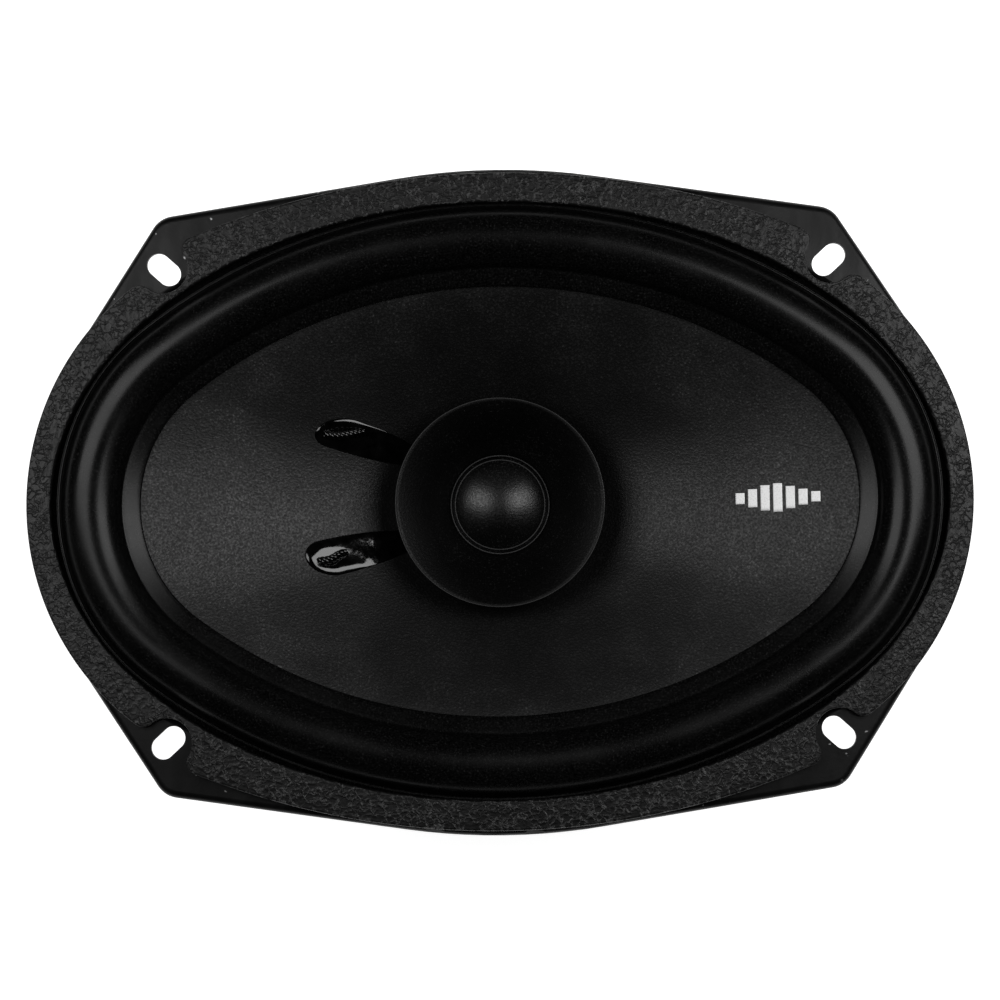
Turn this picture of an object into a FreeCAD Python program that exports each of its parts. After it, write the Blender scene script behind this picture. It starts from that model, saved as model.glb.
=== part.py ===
import FreeCAD, Part
import math
import os
import re
import Sketcher
from FreeCAD import Placement, Rotation, Vector

# A 6 x 9 inch dual-cone car loudspeaker: a pressed steel basket, a ferrite motor behind it and an
# oval paper cone with a round high-frequency whizzer cone on the same axis.
# Frame: +Z is the way the sound leaves, +X runs along the oval's long axis, and the origin is the
# middle of the plane in which the flange's turned-back edge meets the panel.  Millimetres, degrees.

DIMENSIONS = [
    # flange: end arcs, straight slanted sides and small rounded corners
    ("flange_half_length", 117.5),
    ("flange_half_width", 83.0),
    ("flange_end_radius", 68.4),
    ("flange_side_radius", 163.5),
    ("flange_end_slant", 32.7),
    ("flange_side_slant", 81.3),
    ("flange_corner_radius", 6.5),
    ("flange_height", 5.0),
    ("flange_bend", 1.9),
    ("steel", 1.2),
    # fixing slots, one near each corner, each pointing at the middle
    ("slot_along", 82.9),
    ("slot_across", 58.8),
    ("slot_width", 5.8),
    ("slot_length", 9.4),
    ("slot_direction", 42.4),
    # four-arc oval along which the edge of the cone is glued to the surround
    ("oval_half_length", 94.3),
    ("oval_half_width", 58.4),
    ("oval_end_radius", 40.0),
    # rubber surround: glued lip, half roll and outer rim, as distances outside the oval
    ("rubber", 0.8),
    ("lip_width", 4.2),
    ("lip_flat", 0.5),
    ("roll_width", 14.6),
    ("roll_height", 6.2),
    ("roll_foot_spread", 0.34),
    ("surround_rim", 17.2),
    # paper cone
    ("paper", 0.75),
    ("rim_width", 4.6),
    ("rim_rise", 2.1),
    ("cone_edge_level", 4.2),
    ("cone_neck_level", -26.4),
    ("cone_neck_radius", 13.2),
    ("cone_collar", 3.0),
    # front gasket
    ("gasket_thickness", 2.6),
    ("gasket_inset", 0.3),
    ("gasket_end_radius", 68.2),
    ("gasket_side_radius", 200.0),
    ("gasket_lobe", 3.0),
    ("gasket_notch", 6.2),
    ("gasket_window_length", 111.3),
    ("gasket_window_width", 74.2),
    # basket bowl, spider ledge and cup
    ("seat_rim", 18.8),
    ("seat_step", 0.6),
    ("seat_edge", 15.3),
    ("bowl_top_offset", 13.6),
    ("bowl_top_level", -6.0),
    ("ledge_level", -33.0),
    ("ledge_radius", 46.0),
    ("cup_radius", 38.4),
    ("cup_floor_level", -48.8),
    ("cup_hole", 20.0),
    ("window_count", 10),
    ("window_start", 52.0),
    ("window_inner_half", 9.5),
    ("window_outer_half", 11.4),
    ("window_top_level", -9.5),
    ("window_corner", 4.0),
    # terminal tongue, board and blades at the -X end
    ("tongue_half_width", 4.0),
    ("tongue_reach", 62.0),
    ("board_thickness", 1.6),
    ("board_half_width", 14.0),
    ("board_start", 48.5),
    ("board_end", 65.0),
    ("board_corner", 1.5),
    ("board_rivet_radius", 1.5),
    ("board_rivet_head", 2.5),
    ("board_rivet_dome", 0.8),
    ("board_rivet_first", 53.6),
    ("board_rivet_second", 59.2),
    ("terminal_thickness", 0.8),
    ("terminal_spread", 7.2),
    ("terminal_rivet_place", 59.0),
    ("terminal_rivet_radius", 1.3),
    ("terminal_rivet_head", 2.3),
    ("terminal_rivet_dome", 0.7),
    ("terminal_root", 55.6),
    ("terminal_tip", 74.0),
    ("terminal_bevel", 1.1),
    ("positive_width", 6.3),
    ("negative_width", 4.75),
    ("terminal_hole", 0.8),
    ("terminal_hole_back", 4.0),
    # motor
    ("plate_thickness", 5.0),
    ("plate_radius", 36.0),
    ("gap_outer_radius", 13.85),
    ("pole_radius", 12.25),
    ("magnet_radius", 42.5),
    ("magnet_hole", 17.0),
    ("magnet_thickness", 15.0),
    ("magnet_chamfer", 1.2),
    ("plate_chamfer", 0.8),
    ("pole_chamfer", 0.6),
    ("stake_count", 6),
    ("stake_circle", 28.0),
    ("stake_radius", 2.0),
    ("stake_head_radius", 3.2),
    ("stake_head_height", 1.2),
    ("stake_depth", 3.0),
    # voice coil
    ("former_inner_radius", 12.65),
    ("former_wall", 0.15),
    ("former_top_level", -21.8),
    ("former_bottom_level", -58.5),
    ("winding_wall", 0.5),
    ("winding_height", 10.0),
    # spider: corrugated cloth ring between the voice coil and the basket ledge
    ("cloth", 0.45),
    ("spider_collar", 1.3),
    ("spider_wave_start", 14.6),
    ("spider_wave_width", 2.2),
    ("spider_wave_rise", 0.9),
    ("spider_wave_count", 10),
    ("spider_rim_radius", 44.4),
    # whizzer cone and dust cap
    ("whizzer_paper", 0.5),
    ("whizzer_rim_radius", 26.6),
    ("whizzer_rim_level", -7.0),
    ("whizzer_neck_level", -22.4),
    ("whizzer_collar", 2.4),
    ("whizzer_bow", 1.5),
    ("cap_paper", 0.4),
    ("cap_dome_radius", 11.65),
    ("cap_dome_height", 4.2),
    ("cap_collar", 2.6),
    # lead seals on the cone: places as (fraction of the slope from neck to edge, direction)
    ("upper_seal_fraction", 0.489),
    ("upper_seal_direction", 133.0),
    ("lower_seal_fraction", 0.465),
    ("lower_seal_direction", 215.6),
    ("seal_radius", 4.6),
    ("seal_height", 0.9),
    ("seal_sink", 0.3),
    ("strip_width", 5.0),
    ("strip_length", 31.0),
    ("strip_height", 0.6),
    ("eyelet_radius", 0.9),
    ("eyelet_head", 1.8),
    ("eyelet_head_height", 0.6),
    ("lead_radius", 0.5),
]

doc = FreeCAD.newDocument("dual_cone_speaker")
sheet = doc.addObject("Spreadsheet::Sheet", "dims")
for row, (alias, number) in enumerate(DIMENSIONS, start=1):
    sheet.set(f"A{row}", alias)
    sheet.set(f"B{row}", str(number))
    sheet.setAlias(f"B{row}", alias)
doc.recompute()

Z_AXIS = Vector(0, 0, 1)
TOUCHING = 1e-6
MIRRORS = ((1, 1), (-1, 1), (-1, -1), (1, -1))
parts = []


# ---- reading the sheet ---------------------------------------------------------------------

def size(expression):
    """Value of an expression of sheet aliases."""
    return float(sheet.evalExpression(str(expression)))


def bound(expression):
    """The same expression as seen from another object: each alias gets the sheet's name."""
    return re.sub(r"\b([a-z][a-z_]+)\b(?!\()", r"dims.\1", str(expression))


def bind(thing, prop, expression):
    thing.setExpression(prop, bound(expression))


# ---- bodies, sketches and features -----------------------------------------------------------

def origin_feature(body, role):
    return next(item for item in body.Origin.OriginFeatures if item.Role == role)


def new_body(label):
    body = doc.addObject("PartDesign::Body", label)
    parts.append(body)
    return body


def new_sketch(body, name, role="XY_Plane", level=None):
    sketch = body.newObject("Sketcher::SketchObject", f"{body.Name}_{name}")
    sketch.AttachmentSupport = [(origin_feature(body, role), "")]
    sketch.MapMode = "FlatFace"
    if level is not None:
        bind(sketch, "AttachmentOffset.Base.z", level)
    return sketch


def draw_circle(sketch, radius, centre=("0", "0")):
    """Circle whose radius, and whose centre where it isn't the origin, are bound to the sheet."""
    place = Vector(size(centre[0]), size(centre[1]), 0)
    index = sketch.addGeometry(Part.Circle(place, Z_AXIS, size(radius)), False)
    number = sketch.addConstraint(Sketcher.Constraint("Radius", index, size(radius)))
    bind(sketch, f"Constraints[{number}]", radius)
    pin_point(sketch, index, 3, centre)


def pin_point(sketch, index, vertex, place):
    for kind, expression in zip(("DistanceX", "DistanceY"), place):
        rule = Sketcher.Constraint(kind, -1, 1, index, vertex, size(expression))
        number = sketch.addConstraint(rule)
        bind(sketch, f"Constraints[{number}]", expression)


def join_ends(sketch, first, second):
    for here in (1, 2):
        for there in (1, 2):
            gap = sketch.getPoint(first, here).distanceToPoint(sketch.getPoint(second, there))
            if gap < TOUCHING:
                sketch.addConstraint(Sketcher.Constraint("Coincident", first, here, second, there))
                return
    raise RuntimeError(f"{sketch.Name}: edges {first} and {second} do not meet")


def draw_loop(sketch, curves):
    """Closed loop of lines and arcs given in order."""
    start = sketch.GeometryCount
    for curve in curves:
        sketch.addGeometry(curve, False)
    for step in range(len(curves) if len(curves) > 1 else 0):
        join_ends(sketch, start + step, start + (step + 1) % len(curves))


def draw_profile(sketch, corners):
    """Closed outline whose corners are pairs of sheet expressions.  A third item on a corner is
    how far the edge to the next corner bows out to its left, which makes that edge an arc."""
    places = [Vector(size(corner[0]), size(corner[1]), 0) for corner in corners]
    curves = []
    for step, corner in enumerate(corners):
        here = places[step]
        there = places[(step + 1) % len(places)]
        if len(corner) == 2:
            curves.append(Part.LineSegment(here, there))
            continue
        along = there - here
        left = Vector(-along.y, along.x, 0).normalize()
        middle = (here + there) * 0.5 + left * size(corner[2])
        curves.append(Part.Arc(here, middle, there))
    draw_loop(sketch, curves)
    for step, corner in enumerate(corners):
        for vertex in (1, 2):
            if sketch.getPoint(step, vertex).distanceToPoint(places[step]) < TOUCHING:
                pin_point(sketch, step, vertex, corner[:2])
                break


def pad(body, sketch, length):
    feature = body.newObject("PartDesign::Pad", f"{sketch.Name}_pad")
    feature.Profile = sketch
    bind(feature, "Length", length)
    return feature


def pocket(body, sketch, length, upward):
    """Cut from the sketch's plane by a length, up or down, and make sure that it cuts."""
    doc.recompute()
    before = body.Shape.Volume
    feature = body.newObject("PartDesign::Pocket", f"{sketch.Name}_pocket")
    feature.Profile = sketch
    feature.Reversed = upward
    bind(feature, "Length", length)
    doc.recompute()
    if body.Shape.Volume >= before - TOUCHING:
        raise RuntimeError(f"{feature.Name} cuts nothing")
    return feature


def revolve(body, sketch):
    feature = body.newObject("PartDesign::Revolution", f"{sketch.Name}_turned")
    feature.Profile = sketch
    feature.ReferenceAxis = (origin_feature(body, "Z_Axis"), [""])
    feature.Angle = 360
    return feature


def loft(body, kind, first, second):
    feature = body.newObject(f"PartDesign::{kind}Loft", f"{first.Name}_loft")
    feature.Profile = first
    feature.Sections = [(second, "")]
    feature.Ruled = True
    return feature


def pipe(body, profile, path):
    feature = body.newObject("PartDesign::AdditivePipe", f"{profile.Name}_pipe")
    feature.Profile = profile
    feature.Spine = (path, [])
    return feature


def edges_where(feature, test):
    doc.recompute()
    return [f"Edge{n}" for n, edge in enumerate(feature.Shape.Edges, 1) if test(edge)]


def dress(body, kind, feature, edge_names, prop, amount):
    """Fillet or chamfer the named edges of a feature."""
    finish = body.newObject(f"PartDesign::{kind}", f"{feature.Name}_{kind.lower()}")
    finish.Base = (feature, edge_names)
    bind(finish, prop, amount)
    return finish


def flat_edge_at(level, smallest=0.0):
    """Test for edges that lie in the plane z = level and reach at least so far from the axis."""
    def test(edge):
        box = edge.BoundBox
        reach = max(box.XMax, -box.XMin, box.YMax, -box.YMin)
        flat = abs(box.ZMax - level) < TOUCHING and abs(box.ZMin - level) < TOUCHING
        return flat and reach > smallest
    return test


# ---- the four-arc oval ----------------------------------------------------------------------

def oval_constants():
    """End-arc centre, side-arc centre, side radius and the direction at which the arcs meet."""
    end_radius = size("oval_end_radius")
    end_centre = size("oval_half_length") - end_radius
    half_width = size("oval_half_width")
    side_radius = (end_centre**2 + half_width**2 - end_radius**2) / (2 * (half_width - end_radius))
    side_centre = side_radius - half_width
    return end_centre, side_centre, side_radius, math.atan2(side_centre, end_centre)


def oval_section(fraction, end_radius, side_radius):
    """Four arcs of a section on the slope between a round neck (0) and the full oval (1)."""
    end_centre, side_centre, _, meet = oval_constants()
    end_centre *= fraction
    side_centre *= fraction
    arcs = (
        (end_centre, 0, end_radius, -meet, meet),
        (0, -side_centre, side_radius, meet, math.pi - meet),
        (-end_centre, 0, end_radius, math.pi - meet, math.pi + meet),
        (0, side_centre, side_radius, math.pi + meet, 2 * math.pi - meet),
    )
    return [
        Part.ArcOfCircle(Part.Circle(Vector(x, y, 0), Z_AXIS, radius), start, end)
        for x, y, radius, start, end in arcs
    ]


def oval(offset):
    """The full oval moved outwards by an offset."""
    side_radius = oval_constants()[2]
    return oval_section(1, size("oval_end_radius") + offset, side_radius + offset)


def slope_section(fraction, neck_radius, edge_offset):
    """Section of a shell that runs from a round neck to the oval moved out by an offset."""
    end_edge = size("oval_end_radius") + edge_offset
    side_edge = oval_constants()[2] + edge_offset
    end_radius = neck_radius + (end_edge - neck_radius) * fraction
    side_radius = neck_radius + (side_edge - neck_radius) * fraction
    return oval_section(fraction, end_radius, side_radius)


def slope_solid(body, kind, name, neck, edge):
    """Ruled solid between two sections, each given as (fraction, neck radius, edge offset, level)."""
    sketches = []
    for place, (fraction, neck_radius, edge_offset, level) in (("neck", neck), ("edge", edge)):
        sketch = new_sketch(body, f"{name}_{place}", level=level)
        draw_loop(sketch, slope_section(fraction, neck_radius, edge_offset))
        sketches.append(sketch)
    return loft(body, kind, *sketches)


def oval_ring(body, name, corners):
    """Ring of constant section along the oval; x in the section is measured from its end."""
    path = new_sketch(body, f"{name}_path")
    draw_loop(path, oval(0))
    section = new_sketch(body, name, "XZ_Plane")
    moved = [(f"oval_half_length + {corner[0]}", *corner[1:]) for corner in corners]
    draw_profile(section, moved)
    return pipe(body, section, path)


# ---- outlines of tangent arcs ---------------------------------------------------------------

def polar(centre, radius, angle):
    return Vector(centre.x + radius * math.cos(angle), centre.y + radius * math.sin(angle), 0)


def direction(start, end):
    return math.atan2(end.y - start.y, end.x - start.x)


def arc_between(centre, radius, start, end):
    """Three points of an arc from one direction to another, the way the angles run."""
    return [polar(centre, radius, angle) for angle in (start, (start + end) / 2, end)]


def mirrored_outline(quadrant):
    """Whole outline from the pieces of one quadrant, each a list of two or three points."""
    curves = []
    for along, across in MIRRORS:
        pieces = quadrant if along * across > 0 else [piece[::-1] for piece in reversed(quadrant)]
        for piece in pieces:
            points = [Vector(point.x * along, point.y * across, 0) for point in piece]
            curves.append(Part.Arc(*points) if len(points) == 3 else Part.LineSegment(*points))
    return curves


def circles_meet(first, first_radius, second, second_radius, side):
    """Where two circles meet: side +1 is left of the line from the first centre to the second."""
    distance = (second - first).Length
    along = (first_radius**2 - second_radius**2 + distance**2) / (2 * distance)
    half_chord = math.sqrt(first_radius**2 - along**2)
    bearing = direction(first, second)
    turn = side * math.atan2(half_chord, along)
    return polar(first, first_radius, bearing + turn)


def lines_meet(first_normal, first_distance, second_normal, second_distance):
    """Where two straight sides meet, each given by its normal's direction and its distance."""
    spread = math.sin(second_normal - first_normal)
    x = first_distance * math.sin(second_normal) - second_distance * math.sin(first_normal)
    y = second_distance * math.cos(first_normal) - first_distance * math.cos(second_normal)
    return Vector(x / spread, y / spread, 0)


def flange_outline(inset):
    """End arc, slanted side, rounded corner, long side and side arc, moved inwards by an inset."""
    end_radius = size("flange_end_radius")
    side_radius = size("flange_side_radius")
    end_centre = Vector(size("flange_half_length") - end_radius, 0, 0)
    side_centre = Vector(0, size("flange_half_width") - side_radius, 0)
    end_slant = math.radians(size("flange_end_slant"))
    side_slant = math.radians(size("flange_side_slant"))
    corner_radius = size("flange_corner_radius")
    corner_centre = lines_meet(
        end_slant, end_centre.x * math.cos(end_slant) + end_radius - corner_radius,
        side_slant, side_centre.y * math.sin(side_slant) + side_radius - corner_radius,
    )
    end_arc = arc_between(end_centre, end_radius - inset, 0, end_slant)
    corner_arc = arc_between(corner_centre, corner_radius - inset, end_slant, side_slant)
    side_arc = arc_between(side_centre, side_radius - inset, side_slant, math.pi / 2)
    slanted_side = [end_arc[-1], corner_arc[0]]
    long_side = [corner_arc[-1], side_arc[0]]
    return mirrored_outline([end_arc, slanted_side, corner_arc, long_side, side_arc])


def gasket_outline():
    """End arc, lobe, notch round the fixing slot, lobe and side arc, all tangent."""
    inset = size("gasket_inset")
    end_radius = size("gasket_end_radius")
    side_radius = size("gasket_side_radius")
    lobe = size("gasket_lobe")
    notch = size("gasket_notch")
    end_centre = Vector(size("flange_half_length") - inset - end_radius, 0, 0)
    side_centre = Vector(0, size("flange_half_width") - inset - side_radius, 0)
    slot = Vector(size("slot_along"), size("slot_across"), 0)
    end_lobe = circles_meet(end_centre, end_radius - lobe, slot, notch + lobe, -1)
    side_lobe = circles_meet(side_centre, side_radius - lobe, slot, notch + lobe, 1)
    end_turn = direction(end_centre, end_lobe)
    side_turn = direction(side_centre, side_lobe)
    inward = math.radians(size("slot_direction")) - math.pi
    notch_start = direction(slot, end_lobe)
    notch_end = direction(slot, side_lobe) - 2 * math.pi
    return mirrored_outline([
        arc_between(end_centre, end_radius, 0, end_turn),
        arc_between(end_lobe, lobe, end_turn, direction(end_lobe, slot)),
        [polar(slot, notch, angle) for angle in (notch_start, inward, notch_end)],
        arc_between(side_lobe, lobe, direction(side_lobe, slot) + 2 * math.pi, side_turn + 2 * math.pi),
        arc_between(side_centre, side_radius, side_turn, math.pi / 2),
    ])


def rounded_polygon(corners, radius):
    """Closed outline of straight sides with every corner rounded to the same radius."""
    rounds = []
    for step, corner in enumerate(corners):
        before = (corners[step - 1] - corner).normalize()
        after = (corners[(step + 1) % len(corners)] - corner).normalize()
        half_angle = before.getAngle(after) / 2
        reach = radius / math.tan(half_angle)
        inward = (before + after).normalize()
        middle = corner + inward * (radius / math.sin(half_angle) - radius)
        rounds.append((corner + before * reach, middle, corner + after * reach))
    curves = []
    for step, points in enumerate(rounds):
        curves.append(Part.Arc(*points))
        curves.append(Part.LineSegment(points[2], rounds[(step + 1) % len(rounds)][0]))
    return curves


def slot_outline(centre, angle, length, width):
    """Round-ended slot."""
    half = Vector(math.cos(angle), math.sin(angle), 0) * ((length - width) / 2)
    radius = width / 2
    outer = arc_between(centre + half, radius, angle - math.pi / 2, angle + math.pi / 2)
    inner = arc_between(centre - half, radius, angle + math.pi / 2, angle + 1.5 * math.pi)
    return [
        Part.Arc(*outer),
        Part.LineSegment(outer[2], inner[0]),
        Part.Arc(*inner),
        Part.LineSegment(inner[2], outer[0]),
    ]


# ---- basket ---------------------------------------------------------------------------------

SEAT_OUTSIDE = "seat_rim + steel + seat_step"


def build_basket():
    body = new_body("basket")
    bottom = "ledge_level - steel"
    outer_top = size("bowl_top_offset + steel")
    slope_solid(
        body, "Additive", "bowl_outside",
        (0, size("ledge_radius"), outer_top, bottom),
        (1, size("ledge_radius"), outer_top, "bowl_top_level"),
    )
    slope_solid(
        body, "Subtractive", "bowl_inside",
        (0, size("ledge_radius - steel"), outer_top - size("steel"), bottom),
        (1, size("ledge_radius - steel"), outer_top - size("steel"), "bowl_top_level"),
    )
    cut_windows(body)
    add_seat(body)
    add_cup(body)
    add_tongue(body)
    add_flange(body)
    cut_stake_holes(body)


def window_corners(turn):
    """Corners of one bowl window: it starts near the ledge and ends below the bowl's top edge."""
    height_share = size("(window_top_level - ledge_level) / (bowl_top_level - ledge_level)")
    neck = size("ledge_radius")
    top = slope_section(height_share, neck, size("bowl_top_offset"))
    wall = Part.Wire([curve.toShape() for curve in top])
    outward = Vector(math.cos(turn), math.sin(turn), 0)
    sideways = Vector(-outward.y, outward.x, 0)
    ray = Part.LineSegment(outward, outward * size("flange_half_length")).toShape()
    reach = wall.distToShape(ray)[1][0][0].Length
    inner = outward * size("window_start")
    outer = outward * reach
    inner_half = sideways * size("window_inner_half")
    outer_half = sideways * size("window_outer_half")
    return [inner - inner_half, outer - outer_half, outer + outer_half, inner + inner_half]


def cut_windows(body):
    count = int(size("window_count"))
    sketch = new_sketch(body, "windows", level="bowl_top_level")
    for step in range(count):
        corners = window_corners(2 * math.pi * step / count)
        draw_loop(sketch, rounded_polygon(corners, size("window_corner")))
    pocket(body, sketch, "bowl_top_level - ledge_level", upward=False)


def add_seat(body):
    """Pressed seat for the surround, with a step up to the flange and a wall down to the bowl."""
    seat = "flange_height - rubber"
    oval_ring(body, "seat", [
        ("seat_rim + 2 * steel", "flange_height"),
        ("seat_rim + seat_step", "flange_height"),
        ("seat_rim", seat),
        ("seat_edge", seat),
        ("seat_edge - seat_step", f"{seat} - seat_step"),
        ("bowl_top_offset", "bowl_top_level"),
        ("bowl_top_offset + steel", "bowl_top_level"),
        ("seat_edge + steel - seat_step", f"{seat} - steel"),
        ("seat_rim + seat_step", f"{seat} - steel"),
        ("seat_rim + steel", "flange_height - steel"),
        ("seat_rim + 2 * steel", "flange_height - steel"),
    ])


def add_cup(body):
    """Flat ledge for the spider, and the round cup below it whose floor holds the motor."""
    sketch = new_sketch(body, "cup", "XZ_Plane")
    draw_profile(sketch, [
        ("cup_radius - steel", "ledge_level"),
        ("ledge_radius", "ledge_level"),
        ("ledge_radius", "ledge_level - steel"),
        ("cup_radius", "ledge_level - steel"),
        ("cup_radius", "cup_floor_level - steel"),
        ("cup_hole", "cup_floor_level - steel"),
        ("cup_hole", "cup_floor_level"),
        ("cup_radius - steel", "cup_floor_level"),
    ])
    revolve(body, sketch)


def add_tongue(body):
    """Flat tongue that carries the terminal board."""
    sketch = new_sketch(body, "tongue", level="ledge_level - steel")
    draw_profile(sketch, [
        ("-tongue_reach", "-tongue_half_width"),
        ("-cup_radius - steel", "-tongue_half_width"),
        ("-cup_radius - steel", "tongue_half_width"),
        ("-tongue_reach", "tongue_half_width"),
    ])
    pad(body, sketch, "steel")
    holes = new_sketch(body, "tongue_holes", level="ledge_level")
    for place in ("-board_rivet_first", "-board_rivet_second"):
        draw_circle(holes, "board_rivet_radius", (place, "0"))
    pocket(body, holes, "steel", upward=False)


def add_flange(body):
    """Flange plate with its edge turned back to the panel, and the four fixing slots."""
    outline = new_sketch(body, "flange")
    draw_loop(outline, flange_outline(0))
    draw_loop(outline, oval(size(SEAT_OUTSIDE)))
    plate = pad(body, outline, "flange_height")
    top_edges = edges_where(plate, flat_edge_at(size("flange_height")))
    rim = [name for name in top_edges if not touches_seat(plate.Shape.getElement(name))]
    dress(body, "Fillet", plate, rim, "Radius", "flange_bend")
    doc.recompute()
    hollow = new_sketch(body, "hollow")
    draw_loop(hollow, flange_outline(size("steel")))
    draw_loop(hollow, oval(size("seat_rim + steel")))
    pocket(body, hollow, "flange_height - steel", upward=True)
    slots = new_sketch(body, "slots", level="flange_height")
    angle = math.radians(size("slot_direction"))
    for along, across in MIRRORS:
        centre = Vector(size("slot_along") * along, size("slot_across") * across, 0)
        turned = math.atan2(math.sin(angle) * across, math.cos(angle) * along)
        draw_loop(slots, slot_outline(centre, turned, size("slot_length"), size("slot_width")))
    pocket(body, slots, "2 * flange_height", upward=False)


def touches_seat(edge):
    """True for the four arcs where the flange plate meets the seat."""
    end_centre, side_centre, side_radius, _ = oval_constants()
    middle = edge.valueAt((edge.FirstParameter + edge.LastParameter) / 2)
    offset = size(SEAT_OUTSIDE)
    end_gap = math.hypot(abs(middle.x) - end_centre, middle.y) - size("oval_end_radius") - offset
    side_gap = math.hypot(middle.x, abs(middle.y) + side_centre) - side_radius - offset
    return abs(end_gap) < TOUCHING or abs(side_gap) < TOUCHING


def stake_places():
    count = int(size("stake_count"))
    for step in range(count):
        turn = 2 * math.pi * (step + 0.5) / count
        yield math.cos(turn), math.sin(turn)


def draw_stake_holes(sketch):
    for cosine, sine in stake_places():
        draw_circle(sketch, "stake_radius", (f"stake_circle * {cosine:.9f}", f"stake_circle * {sine:.9f}"))


def cut_stake_holes(body):
    sketch = new_sketch(body, "stake_holes", level="cup_floor_level")
    draw_stake_holes(sketch)
    pocket(body, sketch, "steel", upward=False)


# ---- gasket, surround and spider -------------------------------------------------------------

def build_front_gasket():
    body = new_body("front_gasket")
    outline = new_sketch(body, "outline", level="flange_height")
    draw_loop(outline, gasket_outline())
    window = Part.Ellipse(Vector(0, 0, 0), size("gasket_window_length"), size("gasket_window_width"))
    outline.addGeometry(window, False)
    pad(body, outline, "gasket_thickness")


def build_surround():
    """Lip that slopes with the cone's edge, half roll, and flat rim that lies on the seat."""
    body = new_body("surround")
    top = "flange_height"
    low = "flange_height - rubber"
    lip_drop = "lip_width * rim_rise / rim_width"
    oval_ring(body, "roll", [
        ("-lip_width - lip_flat", f"{top} - {lip_drop}"),
        ("-lip_width - lip_flat", f"{low} - {lip_drop}"),
        ("-lip_flat", low),
        ("roll_foot_spread", low, "roll_height"),
        ("roll_width - roll_foot_spread", low),
        ("surround_rim", low),
        ("surround_rim", top),
        ("roll_width + roll_foot_spread", top, "-roll_height"),
        ("-roll_foot_spread", top),
        ("-lip_flat", top),
    ])


def build_spider():
    """Corrugated ring: a collar on the voice coil, a run of half waves and a flat outer rim."""
    body = new_body("spider")
    half = size("cloth") / 2
    level = size("ledge_level") + half
    start = size("spider_wave_start")
    width = size("spider_wave_width")
    rise = size("spider_wave_rise")
    count = int(size("spider_wave_count"))
    radius = ((width / 2)**2 + rise**2) / (2 * rise)
    opening = math.asin(width / 2 / radius)
    upper, lower = [], []
    for step in range(count):
        side = 1 if step % 2 == 0 else -1
        centre = Vector(start + (step + 0.5) * width, level - side * (radius - rise), 0)
        angles = [math.pi / 2 + opening, math.pi / 2, math.pi / 2 - opening]
        for points, shift in ((upper, half), (lower, -half)):
            reach = radius + side * shift
            points.append([polar(centre, reach, side * angle) for angle in angles])
    bore = size("former_inner_radius + former_wall")
    rim = size("spider_rim_radius")
    collar = size("spider_collar")
    inner_top = Vector(bore + size("cloth"), level + collar, 0)
    inner_low = Vector(bore, level - collar, 0)
    path = [inner_top, Vector(inner_top.x, upper[0][0].y, 0), upper[0][0]]
    path_end = [upper[-1][2], Vector(rim, level + half, 0), Vector(rim, level - half, 0), lower[-1][2]]
    back = [lower[0][0], Vector(inner_top.x, lower[0][0].y, 0), Vector(inner_top.x, inner_low.y, 0)]
    back += [inner_low, Vector(bore, inner_top.y, 0), inner_top]
    curves = [Part.LineSegment(a, b) for a, b in zip(path, path[1:])]
    curves += [Part.Arc(*points) for points in upper]
    curves += [Part.LineSegment(a, b) for a, b in zip(path_end, path_end[1:])]
    curves += [Part.Arc(*points[::-1]) for points in reversed(lower)]
    curves += [Part.LineSegment(a, b) for a, b in zip(back, back[1:])]
    sketch = new_sketch(body, "section", "XZ_Plane")
    draw_loop(sketch, curves)
    revolve(body, sketch)


# ---- cone, whizzer and dust cap --------------------------------------------------------------

def cone_place(fraction, turn):
    """Frame on the cone's front face: Z out of the face, X up the slope towards the edge."""
    end_centre = oval_constants()[0]
    neck_radius = size("cone_neck_radius")
    edge_radius = size("oval_end_radius - rim_width")
    neck_level = size("cone_neck_level")
    rise = size("cone_edge_level - rim_rise") - neck_level
    side = 1 if math.cos(turn) > 0 else -1
    radius = neck_radius + (edge_radius - neck_radius) * fraction
    outward = Vector(math.cos(turn), math.sin(turn), 0)
    centre_run = Vector(side * end_centre, 0, 0)
    point = centre_run * fraction + outward * radius + Z_AXIS * (neck_level + rise * fraction)
    uphill = centre_run + outward * (edge_radius - neck_radius) + Z_AXIS * rise
    around = Vector(-outward.y, outward.x, 0)
    normal = uphill.cross(around).normalize()
    return Placement(point, Rotation(uphill.normalize(), normal.cross(uphill), normal, "ZXY"))


def seal_places():
    for name in ("upper", "lower"):
        turn = math.radians(size(f"{name}_seal_direction"))
        yield name, cone_place(size(f"{name}_seal_fraction"), turn)


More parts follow.
